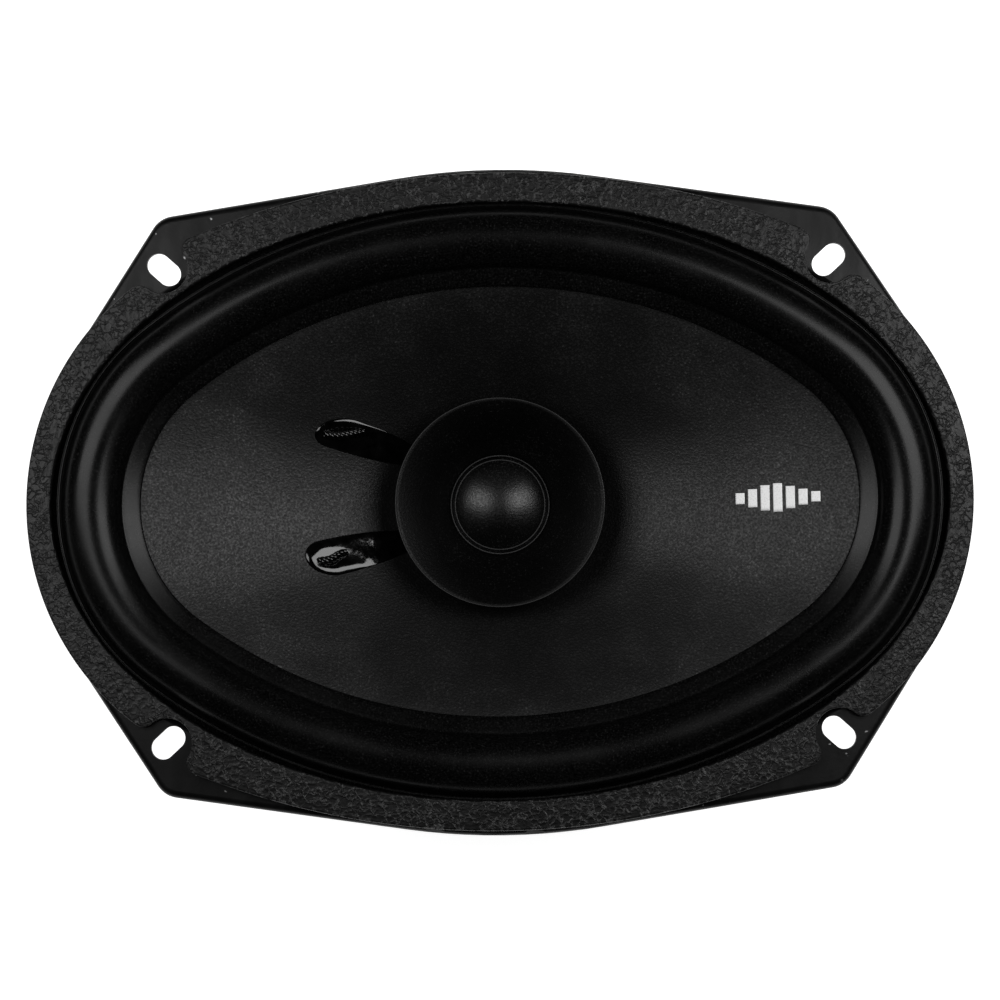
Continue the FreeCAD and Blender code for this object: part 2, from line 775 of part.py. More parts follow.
def build_cone():
    body = new_body("cone")
    edge_level = "cone_edge_level - rim_rise"
    neck_radius = size("cone_neck_radius")
    edge_offset = -size("rim_width")
    slope_solid(
        body, "Additive", "back",
        (0, neck_radius, edge_offset, "cone_neck_level - paper"),
        (1, neck_radius, edge_offset, f"{edge_level} - paper"),
    )
    edge = new_sketch(body, "edge", level=f"{edge_level} - paper")
    draw_loop(edge, oval(edge_offset))
    pad(body, edge, "paper")
    slope_solid(
        body, "Subtractive", "front",
        (0, neck_radius, edge_offset, "cone_neck_level"),
        (1, neck_radius, edge_offset, edge_level),
    )
    oval_ring(body, "rim", [
        ("-rim_width", edge_level),
        ("-rim_width", f"{edge_level} - paper"),
        ("0", "cone_edge_level - paper"),
        ("0", "cone_edge_level"),
    ])
    collar = new_sketch(body, "collar", level="cone_neck_level - cone_collar")
    draw_circle(collar, "former_inner_radius + former_wall + paper")
    pad(body, collar, "cone_collar")
    bore = new_sketch(body, "bore", level="cone_neck_level - cone_collar")
    draw_circle(bore, "former_inner_radius + former_wall")
    pocket(body, bore, "2 * cone_collar", upward=True)
    for name, place in seal_places():
        hole = new_sketch(body, f"{name}_eyelet_hole")
        hole.AttachmentOffset = place
        draw_circle(hole, "eyelet_radius")
        pocket(body, hole, "2 * paper", upward=False)
    return body


def build_whizzer_cone():
    body = new_body("whizzer_cone")
    sketch = new_sketch(body, "section", "XZ_Plane")
    bore = "former_inner_radius + former_wall"
    draw_profile(sketch, [
        (bore, "whizzer_neck_level"),
        (bore, "whizzer_neck_level - whizzer_collar"),
        (f"{bore} + whizzer_paper", "whizzer_neck_level - whizzer_collar"),
        (f"{bore} + whizzer_paper", "whizzer_neck_level", "whizzer_bow"),
        ("whizzer_rim_radius", "whizzer_rim_level - whizzer_paper"),
        ("whizzer_rim_radius", "whizzer_rim_level", "-whizzer_bow"),
    ])
    revolve(body, sketch)


def build_dust_cap():
    """Dome with a short collar that fits inside the voice coil's former."""
    body = new_body("dust_cap")
    sketch = new_sketch(body, "section", "XZ_Plane")
    paper = size("cap_paper")
    top = size("former_top_level")
    bottom = top - size("cap_collar")
    collar = size("former_inner_radius")
    rise = size("cap_dome_height")
    sphere = (size("cap_dome_radius")**2 + rise**2) / (2 * rise)
    centre = Vector(0, top + rise - sphere, 0)
    outer = dome_arc(centre, sphere, top)
    inner = dome_arc(centre, sphere - paper, top - paper)
    path = [
        inner[0],
        Vector(collar - paper, top - paper, 0),
        Vector(collar - paper, bottom, 0),
        Vector(collar, bottom, 0),
        Vector(collar, top, 0),
        outer[0],
    ]
    curves = [Part.LineSegment(a, b) for a, b in zip(path, path[1:])]
    curves += [Part.Arc(*outer), Part.LineSegment(outer[2], inner[2]), Part.Arc(*inner[::-1])]
    draw_loop(sketch, curves)
    revolve(body, sketch)


def dome_arc(centre, radius, level):
    """Arc about a centre on the axis, from a level up to the axis."""
    return arc_between(centre, radius, math.asin((level - centre.y) / radius), math.pi / 2)


# ---- lead seals, eyelets and leads ------------------------------------------------------------

def primitive(kind, name, place, **sizes):
    """Part primitive at a place, with its sizes bound to the sheet."""
    thing = doc.addObject(f"Part::{kind}", name)
    thing.Placement = place
    for prop, expression in sizes.items():
        bind(thing, prop, expression)
    return thing


def combine(kind, name, things):
    """Fusion or compound of several objects."""
    whole = doc.addObject(f"Part::{kind}", name)
    setattr(whole, "Links" if kind == "Compound" else "Shapes", things)
    return whole


def build_eyelets():
    """One eyelet through the cone under each seal, with its head behind the cone."""
    eyelets = []
    for name, place in seal_places():
        depth = size("paper + eyelet_head_height")
        shank = primitive(
            "Cylinder", f"{name}_eyelet_shank", place * Placement(Vector(0, 0, -depth), Rotation()),
            Radius="eyelet_radius", Height="paper + eyelet_head_height + seal_sink",
        )
        head = primitive(
            "Cylinder", f"{name}_eyelet_head", place * Placement(Vector(0, 0, -depth), Rotation()),
            Radius="eyelet_head", Height="eyelet_head_height",
        )
        eyelets.append(combine("MultiFuse", f"{name}_eyelet", [shank, head]))
    parts.append(combine("Compound", "lead_eyelets", eyelets))
    return eyelets


def build_lead_seals(cone, eyelets):
    """Adhesive drop over each eyelet and the strip that covers the coil wire down the slope."""
    for (name, place), eyelet in zip(seal_places(), eyelets):
        sink = -size("seal_sink")
        drop = primitive(
            "Cylinder", f"{name}_drop", place * Placement(Vector(0, 0, sink), Rotation()),
            Radius="seal_radius", Height="seal_height + seal_sink",
        )
        corner = Vector(-size("strip_length"), -size("strip_width / 2"), sink)
        strip = primitive(
            "Box", f"{name}_strip", place * Placement(corner, Rotation()),
            Length="strip_length", Width="strip_width", Height="strip_height + seal_sink",
        )
        blank = combine("MultiFuse", f"{name}_blank", [drop, strip])
        doc.recompute()
        seal = doc.addObject("Part::Feature", f"lead_seal_{name}")
        shape = blank.Shape
        for solid in cone.Shape.Solids + eyelet.Shape.Solids:
            shape = shape.cut(solid)
        seal.Shape = shape
        parts.append(seal)


# Each lead leaves its eyelet behind the cone and runs out through the end window of the bowl to
# the head of its terminal's rivet.  The points between are for the lead on the +Y side.
LEAD_MIDDLE = ((-49.5, 11.5, -23.5), (-56.5, 7.2, -26.0))
LEAD_DROP = 4.0
BEND_SHARE = 0.45


def lead_route(place, side):
    start = place.multVec(Vector(0, 0, -size("paper + eyelet_head_height")))
    below = place.multVec(Vector(0, 0, -size("paper + eyelet_head_height") - LEAD_DROP))
    foot = Vector(
        -size("terminal_rivet_place"), side * size("terminal_spread"),
        size("ledge_level - steel + terminal_rivet_dome"),
    )
    middle = [Vector(x, y * side, z) for x, y, z in LEAD_MIDDLE]
    return [start, below, *middle, foot + Z_AXIS * LEAD_DROP, foot]


def rounded_path(points):
    """Straight runs joined by tangent arcs, each as large as its two runs allow."""
    edges = []
    here = points[0]
    for before, corner, after in zip(points, points[1:], points[2:]):
        incoming = (before - corner).normalize()
        outgoing = (after - corner).normalize()
        reach = BEND_SHARE * min((before - corner).Length, (after - corner).Length)
        half_angle = incoming.getAngle(outgoing) / 2
        radius = reach * math.tan(half_angle)
        bisector = (incoming + outgoing).normalize()
        middle = corner + bisector * (radius / math.sin(half_angle) - radius)
        edges.append(Part.LineSegment(here, corner + incoming * reach).toShape())
        edges.append(Part.Arc(corner + incoming * reach, middle, corner + outgoing * reach).toShape())
        here = corner + outgoing * reach
    edges.append(Part.LineSegment(here, points[-1]).toShape())
    return Part.Wire(edges)


def build_tinsel_leads():
    for (_, place), label, side in zip(seal_places(), ("positive", "negative"), (1, -1)):
        points = lead_route(place, side)
        path = rounded_path(points)
        ring = Part.Wire(Part.makeCircle(size("lead_radius"), points[0], points[1] - points[0]))
        lead = doc.addObject("Part::Feature", f"tinsel_lead_{label}")
        lead.Shape = path.makePipeShell([ring], True, False)
        parts.append(lead)


# ---- voice coil ------------------------------------------------------------------------------

def build_tube(label, inner, outer, bottom, height):
    """Plain tube on the axis."""
    body = new_body(label)
    sketch = new_sketch(body, "rings", level=bottom)
    draw_circle(sketch, inner)
    draw_circle(sketch, outer)
    return body, pad(body, sketch, height)


def build_voice_coil():
    build_tube(
        "voice_coil_former", "former_inner_radius", "former_inner_radius + former_wall",
        "former_bottom_level", "former_top_level - former_bottom_level",
    )
    middle = "cup_floor_level - steel - plate_thickness / 2"
    build_tube(
        "voice_coil_winding", "former_inner_radius + former_wall",
        "former_inner_radius + former_wall + winding_wall",
        f"{middle} - winding_height / 2", "winding_height",
    )


# ---- motor -----------------------------------------------------------------------------------

PLATE_TOP = "cup_floor_level - steel"
PLATE_BOTTOM = f"{PLATE_TOP} - plate_thickness"
MAGNET_BOTTOM = f"{PLATE_BOTTOM} - magnet_thickness"
MOTOR_BOTTOM = f"{MAGNET_BOTTOM} - plate_thickness"


def build_top_plate():
    body, plate = build_tube("top_plate", "gap_outer_radius", "plate_radius", PLATE_BOTTOM, "plate_thickness")
    rims = edges_where(plate, flat_edge_at(size(PLATE_TOP), size("(gap_outer_radius + plate_radius) / 2")))
    dress(body, "Chamfer", plate, rims, "Size", "plate_chamfer")
    holes = new_sketch(body, "stake_holes", level=PLATE_TOP)
    draw_stake_holes(holes)
    pocket(body, holes, "stake_depth", upward=False)


def build_magnet():
    body, ring = build_tube("magnet", "magnet_hole", "magnet_radius", MAGNET_BOTTOM, "magnet_thickness")
    rims = []
    for level in (PLATE_BOTTOM, MAGNET_BOTTOM):
        rims += edges_where(ring, flat_edge_at(size(level), size("(magnet_hole + magnet_radius) / 2")))
    dress(body, "Chamfer", ring, rims, "Size", "magnet_chamfer")


def build_yoke():
    """Back plate and pole turned in one piece."""
    body = new_body("t_yoke")
    sketch = new_sketch(body, "section", "XZ_Plane")
    draw_profile(sketch, [
        ("0", MOTOR_BOTTOM),
        ("plate_radius - plate_chamfer", MOTOR_BOTTOM),
        ("plate_radius", f"{MOTOR_BOTTOM} + plate_chamfer"),
        ("plate_radius", MAGNET_BOTTOM),
        ("pole_radius", MAGNET_BOTTOM),
        ("pole_radius", f"{PLATE_TOP} - pole_chamfer"),
        ("pole_radius - pole_chamfer", PLATE_TOP),
        ("0", PLATE_TOP),
    ])
    revolve(body, sketch)


def build_stakes():
    """Rivets that hold the basket's floor to the top plate."""
    rivets = []
    for number, (cosine, sine) in enumerate(stake_places(), start=1):
        spot = Vector(size("stake_circle") * cosine, size("stake_circle") * sine, 0)
        floor = size("cup_floor_level")
        foot = size(PLATE_TOP) - size("stake_depth")
        shank = primitive(
            "Cylinder", f"stake_shank_{number}", Placement(spot + Z_AXIS * foot, Rotation()),
            Radius="stake_radius", Height="steel + stake_depth + stake_head_height",
        )
        head = primitive(
            "Cylinder", f"stake_head_{number}", Placement(spot + Z_AXIS * floor, Rotation()),
            Radius="stake_head_radius", Height="stake_head_height",
        )
        rivets.append(combine("MultiFuse", f"stake_{number}", [shank, head]))
    parts.append(combine("Compound", "staking_rivets", rivets))


# ---- terminals -------------------------------------------------------------------------------

BOARD_TOP = "ledge_level - steel"
BOARD_BOTTOM = f"{BOARD_TOP} - board_thickness"
TERMINAL_BOTTOM = f"{BOARD_BOTTOM} - terminal_thickness"


def build_terminal_board():
    body = new_body("terminal_board")
    outline = new_sketch(body, "outline", level=BOARD_BOTTOM)
    half = size("board_half_width")
    corners = [
        Vector(-size("board_end"), -half, 0),
        Vector(-size("board_start"), -half, 0),
        Vector(-size("board_start"), half, 0),
        Vector(-size("board_end"), half, 0),
    ]
    draw_loop(outline, rounded_polygon(corners, size("board_corner")))
    for place in ("-board_rivet_first", "-board_rivet_second"):
        draw_circle(outline, "board_rivet_radius", (place, "0"))
    for place in ("-terminal_spread", "terminal_spread"):
        draw_circle(outline, "terminal_rivet_radius", ("-terminal_rivet_place", place))
    pad(body, outline, "board_thickness")


def build_terminal(label, width, place):
    """Flat blade riveted to the board, with a bevelled tip and a locking hole."""
    body = new_body(label)
    outline = new_sketch(body, "outline", level=TERMINAL_BOTTOM)
    low = f"{place} - {width} / 2"
    high = f"{place} + {width} / 2"
    draw_profile(outline, [
        ("-terminal_tip", f"{low} + terminal_bevel"),
        ("-terminal_tip + terminal_bevel", low),
        ("-terminal_root - terminal_bevel", low),
        ("-terminal_root", f"{low} + terminal_bevel"),
        ("-terminal_root", f"{high} - terminal_bevel"),
        ("-terminal_root - terminal_bevel", high),
        ("-terminal_tip + terminal_bevel", high),
        ("-terminal_tip", f"{high} - terminal_bevel"),
    ])
    draw_circle(outline, "terminal_rivet_radius", ("-terminal_rivet_place", place))
    draw_circle(outline, "terminal_hole", ("-terminal_tip + terminal_hole_back", place))
    pad(body, outline, "terminal_thickness")


def headed_rivet(name, spot, sizes):
    """Shank with a head at each end; sizes are radius, head radius, head height and two levels."""
    radius, head_radius, head_height, bottom, top = sizes
    shank = primitive(
        "Cylinder", f"{name}_shank", Placement(spot + Z_AXIS * size(bottom), Rotation()),
        Radius=radius, Height=f"({top}) - ({bottom})",
    )
    pieces = [shank]
    for end, level in (("low", f"{bottom} - {head_height}"), ("high", top)):
        pieces.append(primitive(
            "Cylinder", f"{name}_{end}_head", Placement(spot + Z_AXIS * size(level), Rotation()),
            Radius=head_radius, Height=head_height,
        ))
    return combine("MultiFuse", name, pieces)


def build_terminal_rivets():
    sizes = (
        "terminal_rivet_radius", "terminal_rivet_head", "terminal_rivet_dome",
        TERMINAL_BOTTOM, BOARD_TOP,
    )
    rivets = []
    for number, side in enumerate((1, -1), start=1):
        spot = Vector(-size("terminal_rivet_place"), side * size("terminal_spread"), 0)
        rivets.append(headed_rivet(f"terminal_rivet_{number}", spot, sizes))
    parts.append(combine("Compound", "terminal_rivets", rivets))


def build_board_rivets():
    sizes = (
        "board_rivet_radius", "board_rivet_head", "board_rivet_dome",
        BOARD_BOTTOM, "ledge_level",
    )
    rivets = []
    for number, place in enumerate(("board_rivet_first", "board_rivet_second"), start=1):
        rivets.append(headed_rivet(f"board_rivet_{number}", Vector(-size(place), 0, 0), sizes))
    parts.append(combine("Compound", "terminal_board_rivets", rivets))


# ---- assembly --------------------------------------------------------------------------------

def check_document():
    for thing in doc.Objects:
        if "Invalid" in thing.State or "Error" in thing.State:
            raise RuntimeError(f"{thing.Name} failed: {thing.State}")
    for thing in parts:
        if thing.Shape.isNull() or not thing.Shape.isValid() or thing.Shape.Volume <= 0:
            raise RuntimeError(f"{thing.Label} has no valid solid")


def export_parts():
    os.makedirs("parts", exist_ok=True)
    for thing in parts:
        thing.Shape.exportStep(f"parts/{thing.Label}.step")
        print(f"{thing.Label}: {len(thing.Shape.Solids)} solids, {thing.Shape.Volume:.0f} mm3")


build_basket()
build_front_gasket()
build_surround()
build_spider()
cone_body = build_cone()
build_whizzer_cone()
build_dust_cap()
build_voice_coil()
build_lead_seals(cone_body, build_eyelets())
build_tinsel_leads()
build_top_plate()
build_magnet()
build_yoke()
build_stakes()
build_terminal_board()
build_terminal("positive_terminal", "positive_width", "terminal_spread")
build_terminal("negative_terminal", "negative_width", "-terminal_spread")
build_terminal_rivets()
build_board_rivets()
doc.recompute()
check_document()
export_parts()
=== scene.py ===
import math

import bpy
import numpy as np
from mathutils import Euler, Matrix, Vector, noise


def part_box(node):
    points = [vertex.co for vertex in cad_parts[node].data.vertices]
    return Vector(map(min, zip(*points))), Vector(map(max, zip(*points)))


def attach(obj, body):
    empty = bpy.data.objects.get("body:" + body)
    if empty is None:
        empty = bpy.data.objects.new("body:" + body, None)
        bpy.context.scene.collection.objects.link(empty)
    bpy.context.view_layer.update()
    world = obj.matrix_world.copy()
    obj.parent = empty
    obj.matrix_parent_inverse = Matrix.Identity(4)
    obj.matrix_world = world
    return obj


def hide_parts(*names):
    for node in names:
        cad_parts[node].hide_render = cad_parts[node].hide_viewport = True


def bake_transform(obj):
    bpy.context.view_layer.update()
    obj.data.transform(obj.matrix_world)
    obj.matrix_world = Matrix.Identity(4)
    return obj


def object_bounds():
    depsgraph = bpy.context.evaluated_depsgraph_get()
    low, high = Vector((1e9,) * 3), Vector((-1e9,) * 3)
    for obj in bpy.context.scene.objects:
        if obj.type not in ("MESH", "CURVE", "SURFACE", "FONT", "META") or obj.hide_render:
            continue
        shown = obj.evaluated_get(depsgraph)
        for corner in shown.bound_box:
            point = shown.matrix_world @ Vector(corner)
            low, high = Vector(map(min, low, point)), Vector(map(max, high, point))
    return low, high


# Looks of a 6 x 9 inch dual-cone car speaker that lies face up on its magnet, seen from above.
# Shapes are worked out in millimetres in the part's own frame and scaled to metres when a mesh is
# made: +Z is the way the sound leaves and +X runs along the oval, away from the terminals.

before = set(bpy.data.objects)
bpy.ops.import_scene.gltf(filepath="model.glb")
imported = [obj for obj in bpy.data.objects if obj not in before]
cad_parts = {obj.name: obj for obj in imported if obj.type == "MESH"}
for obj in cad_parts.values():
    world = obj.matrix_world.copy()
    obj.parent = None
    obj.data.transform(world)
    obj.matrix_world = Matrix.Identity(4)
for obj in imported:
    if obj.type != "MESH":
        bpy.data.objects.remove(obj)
cad_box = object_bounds()

MM = 0.001
TURN = 2 * math.pi

# without a seed, noise_vector in the gasket's grain starts from the clock
noise.seed_set(7)


def low(node):
    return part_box(node)[0] / MM


def high(node):
    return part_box(node)[1] / MM


# ---- sizes that the frame doesn't say ---------------------------------------------------------

# four-arc oval along which the cone's edge is glued to the surround
SURROUND_RIM = 17.2
END_RADIUS = 40.0
HALF_LENGTH = high("surround").x - SURROUND_RIM
HALF_WIDTH = high("surround").y - SURROUND_RIM
END_CENTRE = HALF_LENGTH - END_RADIUS
SIDE_RADIUS = (END_CENTRE**2 + HALF_WIDTH**2 - END_RADIUS**2) / (2 * (HALF_WIDTH - END_RADIUS))
SIDE_CENTRE = SIDE_RADIUS - HALF_WIDTH
MEET = math.atan2(SIDE_CENTRE, END_CENTRE)

# surround
RUBBER = 0.8
LIP_WIDTH = 4.2
LIP_FLAT = 0.5
ROLL_WIDTH = 14.6
ROLL_FOOT_SPREAD = 0.34
RIM_RIDGE = 15.5
SURROUND_SPACING = 1.2
SURROUND_TOP = low("front_gasket").z
ROLL_HEIGHT = high("surround").z - SURROUND_TOP

# cone
PAPER = 0.75
RIM_WIDTH = 4.6
RIM_RISE = 2.1
NECK_RADIUS = 13.2
COLLAR = 3.0
CONE_EDGE = high("cone").z
NECK_LEVEL = low("cone").z + COLLAR
FORMER_OUTSIDE = high("voice_coil_former").x
FORMER_TOP = high("voice_coil_former").z
SLOPE_RISE = CONE_EDGE - RIM_RISE - NECK_LEVEL
EDGE_RADIUS = END_RADIUS - RIM_WIDTH

# ledge under the spider's rim, and the inner radius of the cup round it
LEDGE_LEVEL = high("terminal_board").z + 1.2
CUP_INSIDE = 37.2

# seals over the two eyelets: share of the slope from neck to edge, and bearing
SEALS = {
    "upper": (0.489, math.radians(133.0)),
    "lower": (0.465, math.radians(215.6)),
}


# ---- meshes -----------------------------------------------------------------------------------

def new_piece(name, points, faces, material, slot, body=None):
    """Smooth mesh object from points in millimetres, bound to a body when one is given."""
    mesh = bpy.data.meshes.new(name)
    mesh.from_pydata((np.asarray(points, float) * MM).tolist(), [], faces)
    mesh.validate()
    mesh.shade_smooth()
    mesh.materials.append(material)
    piece = bpy.data.objects.new(name, mesh)
    bpy.context.scene.collection.objects.link(piece)
    if body:
        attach(piece, body)
    return piece


def grid_faces(rows, columns, wrap_rows=True, wrap_columns=True):
    """Quads of a grid of points stored row by row."""
    faces = []
    for row in range(rows if wrap_rows else rows - 1):
        below = row * columns
        above = (row + 1) % rows * columns
        for column in range(columns if wrap_columns else columns - 1):
            beside = (column + 1) % columns
            faces.append((below + column, below + beside, above + beside, above + column))
    return faces


def arc_points(start, end, bow, count):
    """Points of an arc from start to end, without its end, that bows out to the left."""
    start = complex(*start)
    end = complex(*end)
    half = abs(end - start) / 2
    radius = (half**2 + bow**2) / (2 * bow)
    along = (end - start) / (2 * half)
    centre = (start + end) / 2 + along * 1j * (bow - radius)
    first = start - centre
    opening = 2 * math.asin(half / abs(radius))
    turn = -math.copysign(opening, bow)
    places = [centre + first * np.exp(1j * turn * step / count) for step in range(count)]
    return [(place.real, place.imag) for place in places]


def lathe(name, profile, material, slot, body=None, segments=256):
    """Closed profile of (radius, level) turned round the axis."""
    profile = np.array(profile)
    turns = np.arange(segments) * TURN / segments
    rows = np.stack([
        np.outer(np.cos(turns), profile[:, 0]),
        np.outer(np.sin(turns), profile[:, 0]),
        np.tile(profile[:, 1], (segments, 1)),
    ], axis=2)
    faces = grid_faces(segments, len(profile))
    return new_piece(name, rows.reshape(-1, 3), faces, material, slot, body)


def dome(name, profile, material, slot, body, segments=128):
    """Profile that starts and ends on the axis, turned to a closed skin."""
    inner = np.array(profile[1:-1])
    turns = np.arange(segments) * TURN / segments
    points = [(0, 0, profile[0][1])]
    for radius, level in inner:
        points += [(radius * math.cos(turn), radius * math.sin(turn), level) for turn in turns]
    points.append((0, 0, profile[-1][1]))
    last = len(points) - 1
    faces = []
    for step in range(segments):
        beside = (step + 1) % segments
        faces.append((0, 1 + beside, 1 + step))
        faces.append((last, last - segments + step, last - segments + beside))
    for a, b, c, d in grid_faces(len(inner), segments, wrap_rows=False):
        faces.append((a + 1, b + 1, c + 1, d + 1))
    return new_piece(name, points, faces, material, slot, body)


def tube_skin(path, radii, sides):
    """Points and faces of a round tube with closed ends along a path."""
    path = np.asarray(path, float)
    radii = np.broadcast_to(radii, len(path))
    ahead = np.gradient(path, axis=0)
    ahead /= np.linalg.norm(ahead, axis=1, keepdims=True)
    side = np.cross(ahead[0], (0.31, 0.52, 0.8))
    turns = np.arange(sides) * TURN / sides
    rings = []
    for place, direction, radius in zip(path, ahead, radii):
        side = side - direction * side.dot(direction)
        side /= np.linalg.norm(side)
        other = np.cross(direction, side)
        rings.append(place + radius * (np.outer(np.cos(turns), side) + np.outer(np.sin(turns), other)))
    faces = grid_faces(len(path), sides, wrap_rows=False)
    last = (len(path) - 1) * sides
    faces.append(tuple(range(sides))[::-1])
    faces.append(tuple(range(last, last + sides)))
    return np.concatenate(rings), faces


def join_skins(skins):
    points, faces, start = [], [], 0
    for skin_points, skin_faces in skins:
        points.append(skin_points)
        faces += [tuple(index + start for index in face) for face in skin_faces]
        start += len(skin_points)
    return np.concatenate(points), faces


def smooth_route(corners, spacing=0.4):
    """Smooth curve through a route's ends that rounds off its corners."""
    corners = [np.array(corner, float) for corner in corners]
    joints = [corners[0]]
    joints += [(a + b) / 2 for a, b in zip(corners[1:-2], corners[2:-1])]
    joints.append(corners[-1])
    path = []
    for start, corner, end in zip(joints, corners[1:-1], joints[1:]):
        length = np.linalg.norm(corner - start) + np.linalg.norm(end - corner)
        count = max(2, int(length / spacing))
        for share in np.arange(count) / count:
            path.append(start * (1 - share)**2 + 2 * corner * share * (1 - share) + end * share**2)
    path.append(corners[-1])
    return np.array(path)


def twisted(path, strands, strand_radius, reach, lay, sides=8):
    """Strands that wind round a path, one turn in every lay, as one skin."""
    steps = np.linalg.norm(np.diff(path, axis=0), axis=1)
    run = np.concatenate([[0], np.cumsum(steps)])
    ahead = np.gradient(path, axis=0)
    ahead /= np.linalg.norm(ahead, axis=1, keepdims=True)
    side = np.cross(ahead, (0.31, 0.52, 0.8))
    side /= np.linalg.norm(side, axis=1, keepdims=True)
    other = np.cross(ahead, side)
    skins = []
    for strand in range(strands):
        turn = TURN * (run / lay + strand / strands)
        line = path + reach * (np.cos(turn)[:, None] * side + np.sin(turn)[:, None] * other)
        skins.append(tube_skin(line, strand_radius, sides))
    return join_skins(skins)


def stretch(piece, weights):
    """Bakes a piece's transform into its mesh. Its weights, 0 for the basket and 1 for the cone, are not
    used.
    """
    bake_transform(piece)


def ease(share):
    share = np.clip(share, 0, 1)
    return share * share * (3 - 2 * share)


# ---- the oval and the cone's slope --------------------------------------------------------------

def oval_stations(spacing):
    """Centre x, centre y, radius and bearing of points along the four arcs."""
    arcs = (
        (END_CENTRE, 0, END_RADIUS, -MEET, MEET),
        (0, -SIDE_CENTRE, SIDE_RADIUS, MEET, math.pi - MEET),
        (-END_CENTRE, 0, END_RADIUS, math.pi - MEET, math.pi + MEET),
        (0, SIDE_CENTRE, SIDE_RADIUS, math.pi + MEET, TURN - MEET),
    )
    rows = []
    for x, y, radius, start, end in arcs:
        count = math.ceil((radius + ROLL_WIDTH) * (end - start) / spacing)
        for step in range(count):
            rows.append((x, y, radius, start + (end - start) * step / count))
    return np.array(rows).T


def slope_row(stations, fraction, neck_radius, offset, level):
    """Points of one section between a round neck (0) and the oval moved out by an offset (1)."""
    x, y, radius, bearing = stations
    reach = neck_radius + (radius + offset - neck_radius) * fraction
    return np.stack([
        x * fraction + reach * np.cos(bearing),
        y * fraction + reach * np.sin(bearing),
        np.full(len(x), float(level)),
    ], axis=1)


def oval_skin(rows, spacing):
    """Closed skin from sections in order round its profile, each (fraction, neck, offset, level)."""
    stations = oval_stations(spacing)
    points = np.concatenate([slope_row(stations, *row) for row in rows])
    return points, grid_faces(len(rows), len(stations[0]))


def cone_frame(fraction, bearing):
    """Point on the cone's face near its -X or +X end, with its uphill, sideways and outward axes."""
    side = math.copysign(1, math.cos(bearing))
    outward = np.array([math.cos(bearing), math.sin(bearing), 0])
    reach = NECK_RADIUS + (EDGE_RADIUS - NECK_RADIUS) * fraction
    point = np.array([side * END_CENTRE * fraction, 0, NECK_LEVEL + SLOPE_RISE * fraction])
    point = point + outward * reach
    uphill = np.array([side * END_CENTRE, 0, SLOPE_RISE]) + outward * (EDGE_RADIUS - NECK_RADIUS)
    around = np.array([-outward[1], outward[0], 0])
    normal = np.cross(uphill, around)
    return point, uphill, around, normal / np.linalg.norm(normal)


def cone_cover(fraction, bearing, along, across, height):
    """Point at a distance up the slope and round it from a place on the cone, above its face."""
    uphill = cone_frame(fraction, bearing)[1]
    here = fraction + along / np.linalg.norm(uphill)
    reach = NECK_RADIUS + (EDGE_RADIUS - NECK_RADIUS) * here
    point, _, _, normal = cone_frame(here, bearing + across / reach)
    return point + normal * height


# ---- materials ----------------------------------------------------------------------------------

